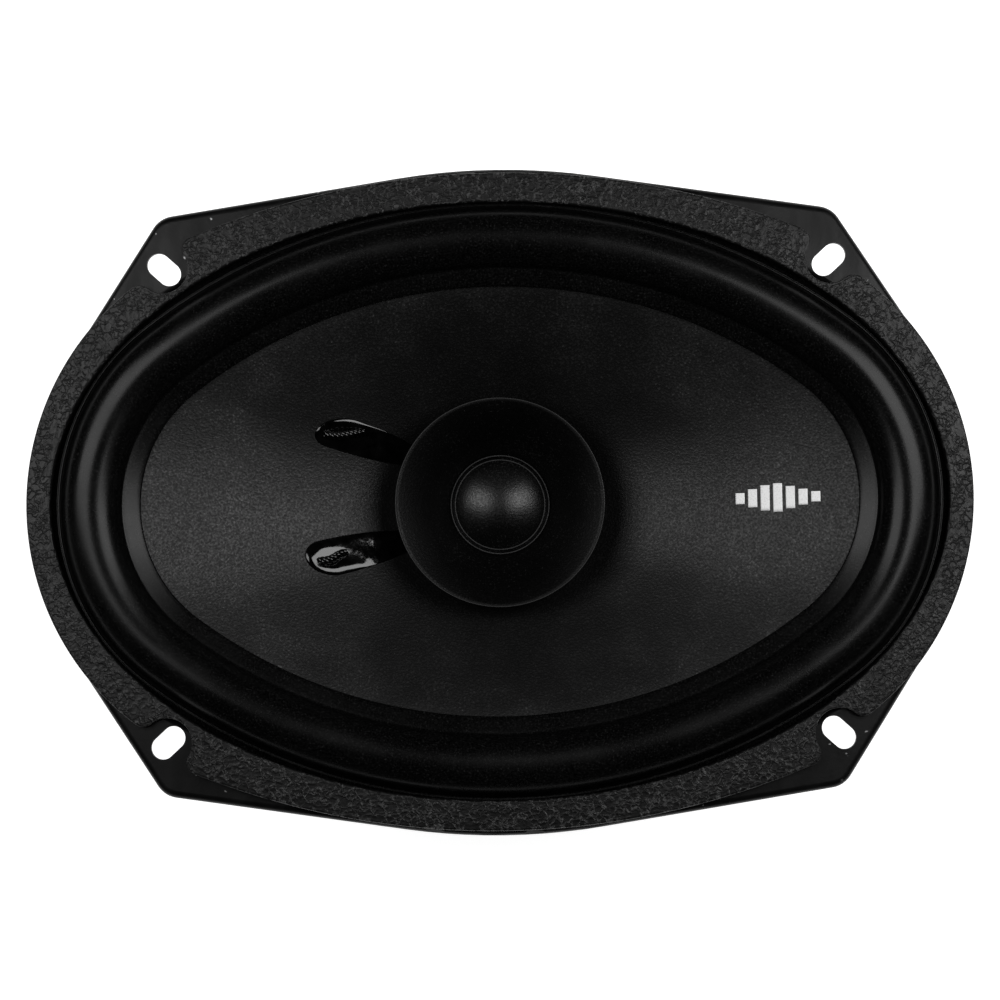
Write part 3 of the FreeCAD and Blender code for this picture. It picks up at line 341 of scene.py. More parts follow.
class Surface:
    """Node material whose textures sit in object space, with their sizes in millimetres."""

    def __init__(self, name, **values):
        self.material = bpy.data.materials.new(name)
        self.material.use_nodes = True
        self.tree = self.material.node_tree
        self.shader = self.tree.nodes["Principled BSDF"]
        self.place = self.node("TexCoord").outputs["Object"]
        self.normal = None
        for socket, value in values.items():
            self.shader.inputs[socket.replace("_", " ")].default_value = value

    def node(self, kind, inputs=None, **settings):
        made = self.tree.nodes.new("ShaderNode" + kind)
        for setting, value in settings.items():
            setattr(made, setting, value)
        for socket, value in (inputs or {}).items():
            if isinstance(value, bpy.types.NodeSocket):
                self.tree.links.new(value, made.inputs[socket])
            else:
                made.inputs[socket].default_value = value
        return made

    def noise(self, size, detail=3.0, stretch=(1, 1, 1)):
        place = self.node("Mapping", {"Vector": self.place, "Scale": stretch}).outputs["Vector"]
        inputs = {"Vector": place, "Scale": 1 / (size * MM), "Detail": detail}
        return self.node("TexNoise", inputs).outputs["Fac"]

    def cells(self, size, feature="F1"):
        inputs = {"Vector": self.place, "Scale": 1 / (size * MM)}
        return self.node("TexVoronoi", inputs, feature=feature).outputs["Distance"]

    def crinkles(self, size):
        """Soft ridges, 1 at their tops, along the borders of uneven cells, broken here and there."""
        wander = self.node("TexNoise", {"Vector": self.place, "Scale": 1.1 / (size * MM), "Detail": 1.0})
        shift = self.vectors("MULTIPLY", wander.outputs["Color"], (size * MM,) * 3)
        place = self.vectors("ADD", self.place, shift)
        inputs = {"Vector": place, "Scale": 1 / (size * MM)}
        borders = self.node("TexVoronoi", inputs, feature="DISTANCE_TO_EDGE").outputs["Distance"]
        ridge = self.spread(borders, 0.0, 0.16, 1.0, 0.0)
        broken = self.spread(self.noise(size * 1.6, 1), 0.4, 0.55, 0.1, 1.0)
        return self.math("MULTIPLY", ridge, broken)

    def rings(self, pitch, direction="Z", wave="RINGS"):
        settings = {"wave_type": wave, f"{wave.lower()}_direction": direction}
        inputs = {"Vector": self.place, "Scale": math.pi / (10 * pitch * MM), "Distortion": 0.0}
        return self.node("TexWave", inputs, **settings).outputs["Fac"]

    def math(self, operation, first, second):
        return self.node("Math", {0: first, 1: second}, operation=operation).outputs[0]

    def vectors(self, operation, first, second):
        return self.node("VectorMath", {0: first, 1: second}, operation=operation).outputs[0]

    def spread(self, value, low_in, high_in, low_out, high_out):
        inputs = {"Value": value, "From Min": low_in, "From Max": high_in}
        inputs |= {"To Min": low_out, "To Max": high_out}
        return self.node("MapRange", inputs).outputs["Result"]

    def colour(self, factor, *stops):
        """Base colour from a ramp whose stops are (place, colour)."""
        ramp = self.node("ValToRGB", {"Fac": factor})
        elements = ramp.color_ramp.elements
        while len(elements) < len(stops):
            elements.new(0.5)
        for element, (place, colour) in zip(elements, stops):
            element.position = place
            element.color = (*colour, 1)
        self.tree.links.new(ramp.outputs["Color"], self.shader.inputs["Base Color"])

    def feed(self, socket, value):
        self.tree.links.new(value, self.shader.inputs[socket])

    def dent(self, height, depth):
        """Bump of a height map, its depth in millimetres, on top of the bumps before it."""
        inputs = {"Height": height, "Distance": depth * MM}
        if self.normal:
            inputs["Normal"] = self.normal
        self.normal = self.node("Bump", inputs).outputs["Normal"]
        self.feed("Normal", self.normal)


def grey(value, warmth=0.0):
    return (value * (1 + warmth), value, value * (1 - warmth))


# radii between which the paper's colour is darkened as painted shade, fading out from the neck outwards
NECK_SHADE_REACH = (28, 66)


def paper_material(name, dark, light, fibre, depth, rough, shine):
    """Doped black paper: felted fibres, pale specks, and painted shade that darkens it towards the neck,
    round the whizzer.
    """
    paper = Surface(name, Specular_IOR_Level=shine)
    clouds = paper.noise(14, 2)
    fibres = paper.noise(fibre, 2)
    specks = paper.cells(1.3)
    flat = paper.vectors("MULTIPLY", paper.place, (1, 1, 0))
    reach = paper.node("VectorMath", {0: flat}, operation="LENGTH").outputs["Value"]
    # painted shade: the colour is darker towards the neck, standing in for the whizzer's shadow on the cone
    neck_shade = paper.spread(reach, NECK_SHADE_REACH[0] * MM, NECK_SHADE_REACH[1] * MM, 1.0, 0.0)
    shade = paper.math("ADD", paper.math("MULTIPLY", clouds, 0.25), paper.math("MULTIPLY", fibres, 0.75))
    shade = paper.math("SUBTRACT", shade, paper.math("MULTIPLY", neck_shade, 0.15))
    fleck = paper.spread(specks, 0.03, 0.09, 0.22, 0.0)
    paper.colour(
        paper.math("ADD", shade, fleck),
        (0.4, grey(dark)), (0.6, grey(light)), (0.8, grey(light * 6)),
    )
    paper.feed("Roughness", paper.spread(fibres, 0.35, 0.65, rough + 0.06, rough - 0.12))
    paper.dent(paper.noise(fibre, 3), depth)
    return paper.material


def rubber_material(name, dark, light, rough):
    """Moulded rubber: fine matt grain, faint flow marks and dust."""
    rubber = Surface(name, Specular_IOR_Level=0.16)
    flow = rubber.noise(18, 3)
    grain = rubber.noise(0.45, 2)
    dust = rubber.cells(2.6)
    rubber.colour(
        rubber.math("ADD", grain, rubber.spread(dust, 0.015, 0.04, 0.3, 0.0)),
        (0.38, grey(dark)), (0.62, grey(light)), (0.85, grey(light * 6)),
    )
    rubber.feed("Roughness", rubber.spread(flow, 0.35, 0.65, rough, rough + 0.08))
    rubber.dent(grain, 0.008)
    return rubber.material


def gasket_material():
    """Dark grey embossed sheet: finer creases and grain on top of the relief in the mesh, with a painted
    highlight along the crease tops.
    """
    sheet = Surface("gasket_sheet", Specular_IOR_Level=0.24)
    clouds = sheet.noise(9, 3)
    grain = sheet.noise(0.5, 4)
    crinkles = sheet.crinkles(GRAIN_CELL)
    # painted highlight: the colour is lighter along the crease tops, where the ridges catch the light; the
    # grain mixed in is the sheet's own
    shade = sheet.math("ADD", sheet.math("MULTIPLY", crinkles, 0.7), sheet.math("MULTIPLY", grain, 0.3))
    sheet.colour(shade, (0.08, grey(0.002)), (0.3, grey(0.007)), (0.85, grey(0.03)))
    sheet.feed("Roughness", sheet.spread(clouds, 0.3, 0.7, 0.36, 0.44))
    sheet.dent(crinkles, 0.2)
    sheet.dent(grain, 0.03)
    return sheet.material


def basket_material():
    """Black baked paint over pressed steel: orange peel, scuffs and a few chips down to the steel."""
    paint = Surface("basket_paint", Specular_IOR_Level=0.15)
    clouds = paint.noise(12, 3)
    scuffs = paint.noise(3.5, 6, (1, 0.3, 1))
    worn = paint.spread(paint.noise(2.4, 5), 0.7, 0.73, 0, 1)
    paint.colour(
        paint.math("ADD", paint.math("MULTIPLY", clouds, 0.6), worn),
        (0.2, grey(0.002)), (0.45, grey(0.005)), (1.0, grey(0.2)),
    )
    paint.feed("Metallic", worn)
    paint.feed("Roughness", paint.spread(scuffs, 0.35, 0.65, 0.3, 0.42))
    paint.dent(paint.noise(0.9, 2), 0.02)
    return paint.material


def adhesive_material():
    """Wet-looking black contact cement."""
    glue = Surface("black_adhesive", Specular_IOR_Level=0.3, Coat_Weight=0.35, Coat_Roughness=0.04)
    clouds = glue.noise(2.5, 3)
    glue.colour(clouds, (0.35, grey(0.0005)), (0.7, grey(0.002)))
    glue.feed("Roughness", glue.spread(clouds, 0.35, 0.65, 0.07, 0.13))
    glue.dent(glue.noise(1.6, 2), 0.04)
    return glue.material


def ink_material():
    """White screen-printed ink that takes the paper's grain."""
    ink = Surface("white_ink", Specular_IOR_Level=0.4)
    grain = ink.noise(0.35, 5)
    ink.colour(grain, (0.3, grey(0.75)), (0.5, grey(0.95)))
    ink.feed("Roughness", ink.spread(grain, 0.3, 0.7, 0.45, 0.6))
    ink.dent(grain, 0.03)
    return ink.material


def cloth_material():
    """Resin-stiffened tan cotton: two crossing sets of threads."""
    cloth = Surface("spider_cloth", Specular_IOR_Level=0.3, Sheen_Weight=0.25)
    warp = cloth.rings(0.55, "X", "BANDS")
    weft = cloth.rings(0.55, "Y", "BANDS")
    weave = cloth.math("MAXIMUM", warp, weft)
    resin = cloth.noise(7, 4)
    shade = cloth.math("ADD", cloth.math("MULTIPLY", weave, 0.5), cloth.math("MULTIPLY", resin, 0.5))
    cloth.colour(shade, (0.3, (0.19, 0.1, 0.028)), (0.75, (0.5, 0.32, 0.12)))
    cloth.feed("Roughness", cloth.spread(resin, 0.35, 0.65, 0.55, 0.8))
    cloth.dent(weave, 0.12)
    return cloth.material


def metal_material(name, dark, light, rough, pitch=0.0, direction="Z", wave="RINGS"):
    """Bare or plated metal with stains, fine scratches and turning marks where it has a pitch."""
    metal = Surface(name, Metallic=1.0)
    stains = metal.noise(6, 4)
    scratches = metal.noise(0.8, 5, (1, 0.1, 1))
    metal.colour(stains, (0.32, dark), (0.66, light))
    wear = metal.math("MULTIPLY", scratches, 0.4)
    both = metal.math("ADD", metal.math("MULTIPLY", stains, 0.6), wear)
    metal.feed("Roughness", metal.spread(both, 0.35, 0.65, rough, rough + 0.2))
    metal.dent(scratches, 0.01)
    if pitch:
        metal.dent(metal.rings(pitch, direction, wave), 0.012)
    return metal.material


def ferrite_material():
    """Sintered ferrite: dark grey ceramic with pits and pale grinding dust."""
    ferrite = Surface("ferrite", Specular_IOR_Level=0.45)
    dust = ferrite.noise(11, 5)
    pits = ferrite.cells(0.9)
    shade = ferrite.math("ADD", ferrite.math("MULTIPLY", dust, 0.8), ferrite.math("MULTIPLY", pits, 0.25))
    ferrite.colour(shade, (0.35, grey(0.03)), (0.6, grey(0.06)), (0.85, grey(0.12)))
    ferrite.feed("Roughness", ferrite.spread(dust, 0.35, 0.65, 0.42, 0.7))
    ferrite.dent(pits, 0.05)
    ferrite.dent(ferrite.noise(0.4, 4), 0.02)
    return ferrite.material


def laminate_material():
    """Brown paper laminate with pressed fibres."""
    board = Surface("board_laminate", Specular_IOR_Level=0.5)
    fibres = board.noise(1.6, 6, (1, 0.25, 1))
    clouds = board.noise(8, 2)
    shade = board.math("ADD", board.math("MULTIPLY", fibres, 0.6), board.math("MULTIPLY", clouds, 0.4))
    board.colour(shade, (0.35, (0.13, 0.055, 0.02)), (0.65, (0.3, 0.15, 0.06)))
    board.feed("Roughness", board.spread(clouds, 0.35, 0.65, 0.35, 0.5))
    board.dent(fibres, 0.02)
    return board.material


def floor_material():
    """Pale paper sweep that shines a little, so that it stays white round a black object."""
    floor = Surface("pale_sweep", Emission_Color=(1, 1, 1, 1), Emission_Strength=0.95)
    fibres = floor.noise(6, 4)
    floor.colour(fibres, (0.3, grey(0.82)), (0.7, grey(0.86)))
    floor.feed("Roughness", floor.spread(fibres, 0.3, 0.7, 0.8, 0.95))
    floor.dent(fibres, 0.02)
    return floor.material


CONE_PAPER = paper_material(
    "cone_paper", dark=0.0002, light=0.015, fibre=0.55, depth=0.12, rough=0.5, shine=0.33)
WHIZZER_PAPER = paper_material(
    "whizzer_paper", dark=0.0003, light=0.014, fibre=0.55, depth=0.07, rough=0.48, shine=0.14)
CAP_PAPER = paper_material(
    "cap_paper", dark=0.0003, light=0.02, fibre=0.5, depth=0.06, rough=0.36, shine=0.34)
EDGE_PAPER = paper_material(
    "cut_paper_edge", dark=0.02, light=0.05, fibre=0.3, depth=0.03, rough=0.6, shine=0.3)
SURROUND_RUBBER = rubber_material("surround_rubber", dark=0.0003, light=0.0035, rough=0.23)
ADHESIVE = adhesive_material()
SOLDER = metal_material("solder", (0.42, 0.42, 0.43), (0.62, 0.62, 0.64), 0.22)
COPPER_BRAID = metal_material("tinsel_copper", (0.3, 0.12, 0.05), (0.62, 0.3, 0.15), 0.3)
PLATED_STEEL = metal_material("zinc_plate", (0.16, 0.16, 0.155), (0.36, 0.36, 0.35), 0.26, 0.7)
TINNED_BRASS = metal_material("tinned_brass", (0.46, 0.43, 0.36), (0.66, 0.63, 0.56), 0.24)


def paint_cad_nodes():
    """Gives each CAD node that stays in view a better material."""
    foil = metal_material("former_foil", (0.4, 0.4, 0.42), (0.6, 0.6, 0.62), 0.35)
    copper = metal_material("coil_copper", (0.35, 0.11, 0.04), (0.6, 0.24, 0.1), 0.22, 0.3, "Z", "BANDS")
    brass = metal_material("eyelet_brass", (0.4, 0.28, 0.1), (0.62, 0.46, 0.2), 0.3)
    materials = {
        "basket": basket_material(),
        "magnet": ferrite_material(),
        "top_plate": PLATED_STEEL,
        "t_yoke": PLATED_STEEL,
        "staking_rivets": PLATED_STEEL,
        "terminal_board_rivets": PLATED_STEEL,
        "terminal_board": laminate_material(),
        "positive_terminal": TINNED_BRASS,
        "negative_terminal": TINNED_BRASS,
        "terminal_rivets": TINNED_BRASS,
        "voice_coil_former": foil,
        "voice_coil_winding": copper,
        "lead_eyelets": brass,
    }
    for node, material in materials.items():
        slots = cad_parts[node].material_slots
        for slot in slots:
            slot.material = material


# ---- front gasket -------------------------------------------------------------------------------

# outline of tangent arcs round an elliptical window, and the embossed grain on its face
GASKET_END_RADIUS = 68.2
GASKET_SIDE_RADIUS = 200.0
GASKET_SIDE_MARGIN = 1.2
GASKET_LOBE = 3.0
GASKET_NOTCH = 6.2
GASKET_WINDOW = (111.3, 74.2)
GASKET_SPACING = 0.36
GASKET_ROWS = 40
WINDOW_STEPS = 1200
WINDOW_EASE = 24
GASKET_EDGE_ROUND = 0.45
GRAIN_CELL = 1.7
GRAIN_HEIGHT = 0.16
GRAIN_BORDER = 1.0
GRAIN_FADE = 0.7
GRAIN_WANDER = 0.35
GRAIN_RIDGE = 0.11
GRAIN_SWELL = 0.18
SLOT_CENTRE = 82.9 + 58.8j


def circle_arc(centre, radius, start, end, spacing):
    count = max(3, round(abs(end - start) * radius / spacing))
    return centre + radius * np.exp(1j * np.linspace(start, end, count, endpoint=False))


def circles_meet(first, first_radius, second, second_radius, side):
    """Where two circles meet, to the left (+1) or right (-1) of the line between their centres."""
    distance = abs(second - first)
    along = (first_radius**2 - second_radius**2 + distance**2) / (2 * distance)
    across = math.sqrt(first_radius**2 - along**2)
    return first + (second - first) / distance * complex(along, side * across)


def gasket_quadrant(spacing):
    """Points of the outline from the +X end to the +Y side: end, lobe, notch, lobe and side arcs."""
    angle = np.angle
    lobe = GASKET_LOBE
    end_centre = high("front_gasket").x - GASKET_END_RADIUS
    side_centre = 1j * (high("front_gasket").y - GASKET_SIDE_MARGIN - GASKET_SIDE_RADIUS)
    near_end = circles_meet(end_centre, GASKET_END_RADIUS - lobe, SLOT_CENTRE, GASKET_NOTCH + lobe, -1)
    near_side = circles_meet(side_centre, GASKET_SIDE_RADIUS - lobe, SLOT_CENTRE, GASKET_NOTCH + lobe, 1)
    end_turn = angle(near_end - end_centre)
    side_turn = angle(near_side - side_centre)
    notch_start = angle(near_end - SLOT_CENTRE)
    notch_end = angle(near_side - SLOT_CENTRE) - TURN
    return np.concatenate([
        circle_arc(end_centre, GASKET_END_RADIUS, 0, end_turn, spacing),
        circle_arc(near_end, lobe, end_turn, angle(SLOT_CENTRE - near_end), spacing),
        circle_arc(SLOT_CENTRE, GASKET_NOTCH, notch_start, notch_end, spacing),
        circle_arc(near_side, lobe, angle(SLOT_CENTRE - near_side) + TURN, side_turn + TURN, spacing),
        circle_arc(side_centre, GASKET_SIDE_RADIUS, side_turn, math.pi / 2, spacing),
        [side_centre + 1j * GASKET_SIDE_RADIUS],
    ])


def window_turns(outline):
    """Evenly eased turns on the inner ellipse that face the outline's points of one quadrant."""
    length, width = GASKET_WINDOW
    turns = np.linspace(0, math.pi / 2, WINDOW_STEPS)
    ellipse = length * np.cos(turns) + 1j * width * np.sin(turns)
    nearest = turns[np.abs(outline[:, None] - ellipse[None, :]).argmin(axis=1)]
    whole = np.concatenate([-nearest[:0:-1], nearest, math.pi - nearest[-2::-1]])
    span = 2 * WINDOW_EASE + 1
    even = np.convolve(whole, np.ones(span) / span, mode="same")
    eased = even[len(nearest) - 1:2 * len(nearest) - 1]
    eased[0] = 0
    eased[-1] = math.pi / 2
    return eased


def mirror_quadrant(points):
    """Whole loop from the points of a quadrant whose ends lie on the axes."""
    half = np.concatenate([points, -np.conj(points[-2::-1])])
    return np.concatenate([half, -half[1:-1]])


def leather_relief(x, y):
    """Height of the embossed leather grain: broken ridges along the borders of uneven cells."""
    place = Vector((x, y, 0)) / GRAIN_CELL
    place += GRAIN_WANDER * noise.noise_vector(place * 0.9)
    distances = noise.voronoi(place)[0]
    ridge = math.exp(-((distances[1] - distances[0]) / GRAIN_RIDGE)**2)
    broken = ease(0.5 + 1.6 * noise.noise(place * 1.3 + Vector((7, 3, 5))))
    swell = GRAIN_SWELL * (1 - min(1, distances[0] * 1.3))
    return GRAIN_HEIGHT * (ridge * (0.25 + 0.75 * broken) + swell)


def build_front_gasket():
    """Embossed sheet with rounded edges, between the outline of tangent arcs and an ellipse."""
    quadrant = gasket_quadrant(GASKET_SPACING)
    turns = window_turns(quadrant)
    window = GASKET_WINDOW[0] * np.cos(turns) + 1j * GASKET_WINDOW[1] * np.sin(turns)
    outer = mirror_quadrant(quadrant)
    inner = mirror_quadrant(window)
    width = np.abs(outer - inner)
    bottom = low("front_gasket").z
    top = high("front_gasket").z
    edge_turns = np.linspace(0, math.pi / 2, 4)
    edge_in = GASKET_EDGE_ROUND * (1 - np.cos(edge_turns))
    edge_drop = GASKET_EDGE_ROUND * (1 - np.sin(edge_turns))
    shares = np.linspace(0, 1, GASKET_ROWS)[1:-1]
    rows = [(inner, bottom)]
    rows += [(inner + (outer - inner) / width * step, top - drop) for step, drop in zip(edge_in, edge_drop)]
    for share in shares:
        inset = GASKET_EDGE_ROUND + (width - 2 * GASKET_EDGE_ROUND) * share
        places = inner + (outer - inner) / width * inset
        border = ease((np.minimum(inset, width - inset) - GRAIN_BORDER) / GRAIN_FADE)
        relief = [leather_relief(place.real, place.imag) for place in places]
        rows.append((places, top + border * np.array(relief)))
    rows += [
        (outer + (inner - outer) / width * step, top - drop)
        for step, drop in zip(edge_in[::-1], edge_drop[::-1])
    ]
    rows.append((outer, bottom))
    points = np.concatenate([
        np.stack([places.real, places.imag, np.broadcast_to(level, len(places))], axis=1)
        for places, level in rows
    ])
    faces = [face[::-1] for face in grid_faces(len(rows), len(outer))]
    gasket = new_piece("leather_gasket", points, faces, gasket_material(), "gasket_rubber", "root")
    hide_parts("front_gasket")


# ---- surround, spider and leads ---------------------------------------------------------------

def build_surround():
    """Lip glued to the cone, half roll, and a rim with a fine ridge that falls away outwards."""
    top = SURROUND_TOP
    base = top - RUBBER
    drop = LIP_WIDTH * RIM_RISE / RIM_WIDTH
    spread = ROLL_FOOT_SPREAD
    lip_end = -LIP_WIDTH - LIP_FLAT
    outside = [(lip_end, top - drop - 0.15), (lip_end + 0.2, top - drop + 0.05)]
    for share in (0.25, 0.5, 0.75, 0.95):
        outside.append((lip_end + share * LIP_WIDTH, top - drop * (1 - share)))
    outside += arc_points((-spread, top), (ROLL_WIDTH + spread, top), ROLL_HEIGHT, 40)
    outside += [(ROLL_WIDTH + spread, top), (RIM_RIDGE, top - 0.2), (RIM_RIDGE + 0.1, top - 0.06)]
    outside += [(RIM_RIDGE + 0.35, top - 0.1), (RIM_RIDGE + 0.45, top - 0.34)]
    outside += [(SURROUND_RIM - 0.1, top - 0.6), (SURROUND_RIM, top - 0.7)]
    inside = [(SURROUND_RIM, base), (ROLL_WIDTH - spread, base)]
    inside += arc_points((ROLL_WIDTH - spread, base), (spread, base), -ROLL_HEIGHT, 24)[1:]
    inside += [(spread, base), (-LIP_FLAT, base), (lip_end, base - drop)]
    profile = outside + inside
    sections = [(1, 0, offset, level) for offset, level in profile]
    points, faces = oval_skin(sections, SURROUND_SPACING)
    piece = new_piece("rubber_surround", points, faces, SURROUND_RUBBER, "surround_rubber")
    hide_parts("surround")
    count = len(points) // len(profile)
    stretch(piece, np.repeat([ease(1 - offset / ROLL_WIDTH) for offset, _ in profile], count))


# the spider's waves, each half a corrugation wide
WAVE_START = 14.6
WAVE_WIDTH = 2.2
WAVE_RISE = 0.9
WAVES = 10
SPIDER_COLLAR = 1.3
SPIDER_SEGMENTS = 240


def spider_profile(side):
    """One face of the corrugated cloth, from the voice coil out to its flat rim."""
    half = (high("spider").z - LEDGE_LEVEL - WAVE_RISE) / 2
    level = LEDGE_LEVEL + half
    places = []
    for radius in np.linspace(WAVE_START, WAVE_START + WAVE_WIDTH * WAVES, WAVES * 8 + 1):
        turn = math.pi * (radius - WAVE_START) / WAVE_WIDTH
        wave = WAVE_RISE * math.sin(turn)
        tilt = math.atan(WAVE_RISE * math.pi / WAVE_WIDTH * math.cos(turn))
        places.append((radius - side * half * math.sin(tilt), level + wave + side * half * math.cos(tilt)))
    return places, level, half


def build_spider():
    upper, level, half = spider_profile(1)
    lower = spider_profile(-1)[0]
    rim = high("spider").x
    sleeve = FORMER_OUTSIDE + 2 * half
    head = level + SPIDER_COLLAR
    foot = level - SPIDER_COLLAR
    profile = [(FORMER_OUTSIDE, foot), (FORMER_OUTSIDE, head), (sleeve, head)]
    profile += [(sleeve, level + half + 0.3), (sleeve + 0.3, level + half)]
    profile += upper + [(rim, level + half), (rim, level - half)] + lower[::-1]
    profile += [(sleeve + 0.3, level - half), (sleeve, level - half - 0.3), (sleeve, foot)]
    cloth = cloth_material()
    spider = lathe("corrugated_spider", profile, cloth, "spider_cloth", segments=SPIDER_SEGMENTS)
    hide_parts("spider")
    radii = np.array([radius for radius, _ in profile])
    still = CUP_INSIDE - 0.6
    weights = ease((still - radii) / (still - sleeve))
    stretch(spider, np.tile(weights, SPIDER_SEGMENTS))


# Each lead leaves its eyelet behind the cone and runs out through the end window of the bowl to
# the head of its terminal's rivet. The points are for the lead on the +Y side.
LEAD_MIDDLE = ((-49.5, 11.5, -23.5), (-56.5, 7.2, -26.0))
LEAD_FOOT = (-59.0, 7.2)
LEAD_GAP = 0.6
LEAD_DROP = 4.0
LEAD_STRANDS = 5
LEAD_SIDES = 6
LEAD_EASE = 0.08


def build_leads():
    """Braided tinsel wire from each eyelet to its terminal, soldered at both ends."""
    for (seal, label), side in zip((("upper", "positive"), ("lower", "negative")), (1, -1)):
        point, _, _, normal = cone_frame(*SEALS[seal])
        foot = np.array([LEAD_FOOT[0], side * LEAD_FOOT[1], high("terminal_rivets").z])
        rise = np.array([0, 0, LEAD_DROP])
        behind = PAPER + LEAD_GAP
        route = [point - normal * behind, point - normal * (behind + LEAD_DROP)]
        route += [np.array([x, y * side, z]) for x, y, z in LEAD_MIDDLE]
        route += [foot + rise, foot]
        path = smooth_route(route)
        points, faces = twisted(
            path, LEAD_STRANDS, strand_radius=0.2, reach=0.3, lay=3.2, sides=LEAD_SIDES)
        lead = new_piece(f"tinsel_braid_{label}", points, faces, COPPER_BRAID, "tinsel_braid")
        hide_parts(f"tinsel_lead_{label}")
        shares = ease(np.linspace(1 + LEAD_EASE, -LEAD_EASE, len(path)))
        stretch(lead, np.tile(np.repeat(shares, LEAD_SIDES), LEAD_STRANDS))
        solder_blob(f"solder_{label}", foot)


def solder_blob(name, foot):
    """Solder over a rivet head: a skirt and a cone, a little uneven."""
    skirt = [(0, -0.5), (1.9, -0.5), (2.0, -0.2)]
    cone = [(1.7, 0.25), (1.2, 0.7), (0.75, 1.2), (0.4, 1.6), (0, 1.7)]
    blob = dome(name, skirt + cone, SOLDER, "tinned_brass", None, 32)
    for vertex in blob.data.vertices:
        place = vertex.co / MM
        swell = 1 + 0.12 * noise.noise(place * 0.8 + Vector(foot))
        vertex.co = Vector((place.x * swell, place.y * swell, place.z)) * MM + Vector(foot) * MM
    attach(blob, "root")


# ---- cone, whizzer and dust cap -----------------------------------------------------------------

CONE_ROWS = 15
CONE_SPACING = 1.6


def build_cone():
    """Oval paper cone with a rim under the surround's lip and a collar on the voice coil."""
    edge = CONE_EDGE - RIM_RISE
    bore = FORMER_OUTSIDE
    shares = np.linspace(0, 1, CONE_ROWS)
    rows = [(share, NECK_RADIUS, -RIM_WIDTH, NECK_LEVEL + SLOPE_RISE * share) for share in shares]
    rows += [(1, 0, 0, CONE_EDGE), (1, 0, 0, CONE_EDGE - PAPER), (1, 0, -RIM_WIDTH, edge - PAPER)]
    rows += [
        (share, NECK_RADIUS, -RIM_WIDTH, NECK_LEVEL - PAPER + SLOPE_RISE * share)
        for share in shares[::-1][1:]
    ]
    rows += [(0, bore + PAPER, 0, NECK_LEVEL - PAPER), (0, bore + PAPER, 0, NECK_LEVEL - COLLAR)]
    rows += [(0, bore, 0, NECK_LEVEL - COLLAR), (0, bore, 0, NECK_LEVEL)]
    points, faces = oval_skin(rows, CONE_SPACING)
    cone = new_piece("paper_cone", points, faces, CONE_PAPER, "cone_paper", "cone_assembly")
    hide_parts("cone")


# whizzer: length of its collar, thickness, bow of its flare, glue gap and width of its cut edge
HORN_COLLAR = 2.4
HORN_PAPER = 0.5
HORN_BOW = 1.5
HORN_GLUE = 0.06
HORN_TRIM = 0.25


def build_whizzer():
    """Flared paper horn with a trimmed rim that shows the paper's paler core."""
    bottom = low("whizzer_cone").z
    rim = high("whizzer_cone").z
    wide = high("whizzer_cone").x
    neck = bottom + HORN_COLLAR
    bore = FORMER_OUTSIDE + HORN_GLUE
    back = bore + HORN_PAPER
    inside = arc_points((bore, neck), (wide - HORN_TRIM, rim), HORN_BOW, 24)
    outside = arc_points((wide, rim - HORN_PAPER), (back, neck), -HORN_BOW, 24)
    profile = [(bore, bottom)] + inside
    profile += [(wide - HORN_TRIM, rim), (wide - 0.05, rim - 0.08)] + outside
    profile += [(back, neck), (back, bottom)]
    horn = lathe("paper_whizzer", profile[::-1], WHIZZER_PAPER, "cone_paper", "cone_assembly")
    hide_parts("whizzer_cone")
    edge = bead_ring(0.13, wide - 0.12, rim - 0.1)
    lathe("whizzer_cut_edge", edge, EDGE_PAPER, "cone_paper", "cone_assembly")


def bead_ring(radius, reach, level, sides=12):
    """Round section of a thin ring."""
    turns = -np.arange(sides) * TURN / sides
    return [(reach + radius * math.cos(turn), level + radius * math.sin(turn)) for turn in turns]


# dust cap: radius of its dome, its thickness, and half the thickness of the rings round it
CAP_REACH = 11.65
CAP_THICKNESS = 0.4
CAP_RING = 0.16


def build_dust_cap():
    """Paper dome with a beaded edge, set in the voice coil's mouth with a groove round it."""
    reach = CAP_REACH
    rise = high("dust_cap").z - FORMER_TOP
    sphere = (reach**2 + rise**2) / (2 * rise)
    centre = FORMER_TOP + rise - sphere
    inner = sphere - CAP_THICKNESS
    angles = np.linspace(0, math.asin(reach / sphere), 22)
    upper = [(sphere * math.sin(angle), centre + sphere * math.cos(angle)) for angle in angles]
    collar = FORMER_OUTSIDE - 0.15
    bottom = low("dust_cap").z
    lower = [(collar - 0.1, bottom), (collar - 0.5, bottom), (collar - 0.5, FORMER_TOP - 0.9)]
    under = [(inner * math.sin(angle), centre + inner * math.cos(angle)) for angle in angles[::-1]]
    groove = [(reach + 0.12, FORMER_TOP - 0.35), (collar - 0.1, FORMER_TOP - 0.45)]
    profile = (upper + groove + lower + under)[::-1]
    cap = dome("paper_dust_cap", profile, CAP_PAPER, "cap_paper", "cone_assembly")
    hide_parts("dust_cap")
    for name, radius in (("dust_cap_bead", reach), ("neck_glue_ring", FORMER_OUTSIDE - 0.05)):
        ring = bead_ring(CAP_RING, radius, FORMER_TOP + 0.02)
        lathe(name, ring, EDGE_PAPER, "cap_paper", "cone_assembly", 128)


# ---- lead seals and the printed mark ------------------------------------------------------------

# seals: radius of the head, half width and taper of the strip, its length, and depth in the cone
SEAL_HEAD = 5.4
SEAL_STRIP_HALF = 2.8
SEAL_TAPER = 24.0
SEAL_RUN = 30.0
SEAL_SPACING = 0.6
SEAL_ROOT = 0.25
SEAL_HEIGHT = {"upper": 0.85, "lower": 0.95}

# how far each seal's middle line lies to the side of its eyelet, and its lean in mm per mm
SEAL_AXIS = {"upper": (-2.4, -0.114), "lower": (0.0, 0.062)}


def seal_place(name, along, across, height):
    """Point of a seal or its knot, at a distance up the slope from the eyelet."""
    offset, lean = SEAL_AXIS[name]
    fraction, bearing = SEALS[name]
    return cone_cover(fraction, bearing, along, across + offset + lean * along, height)


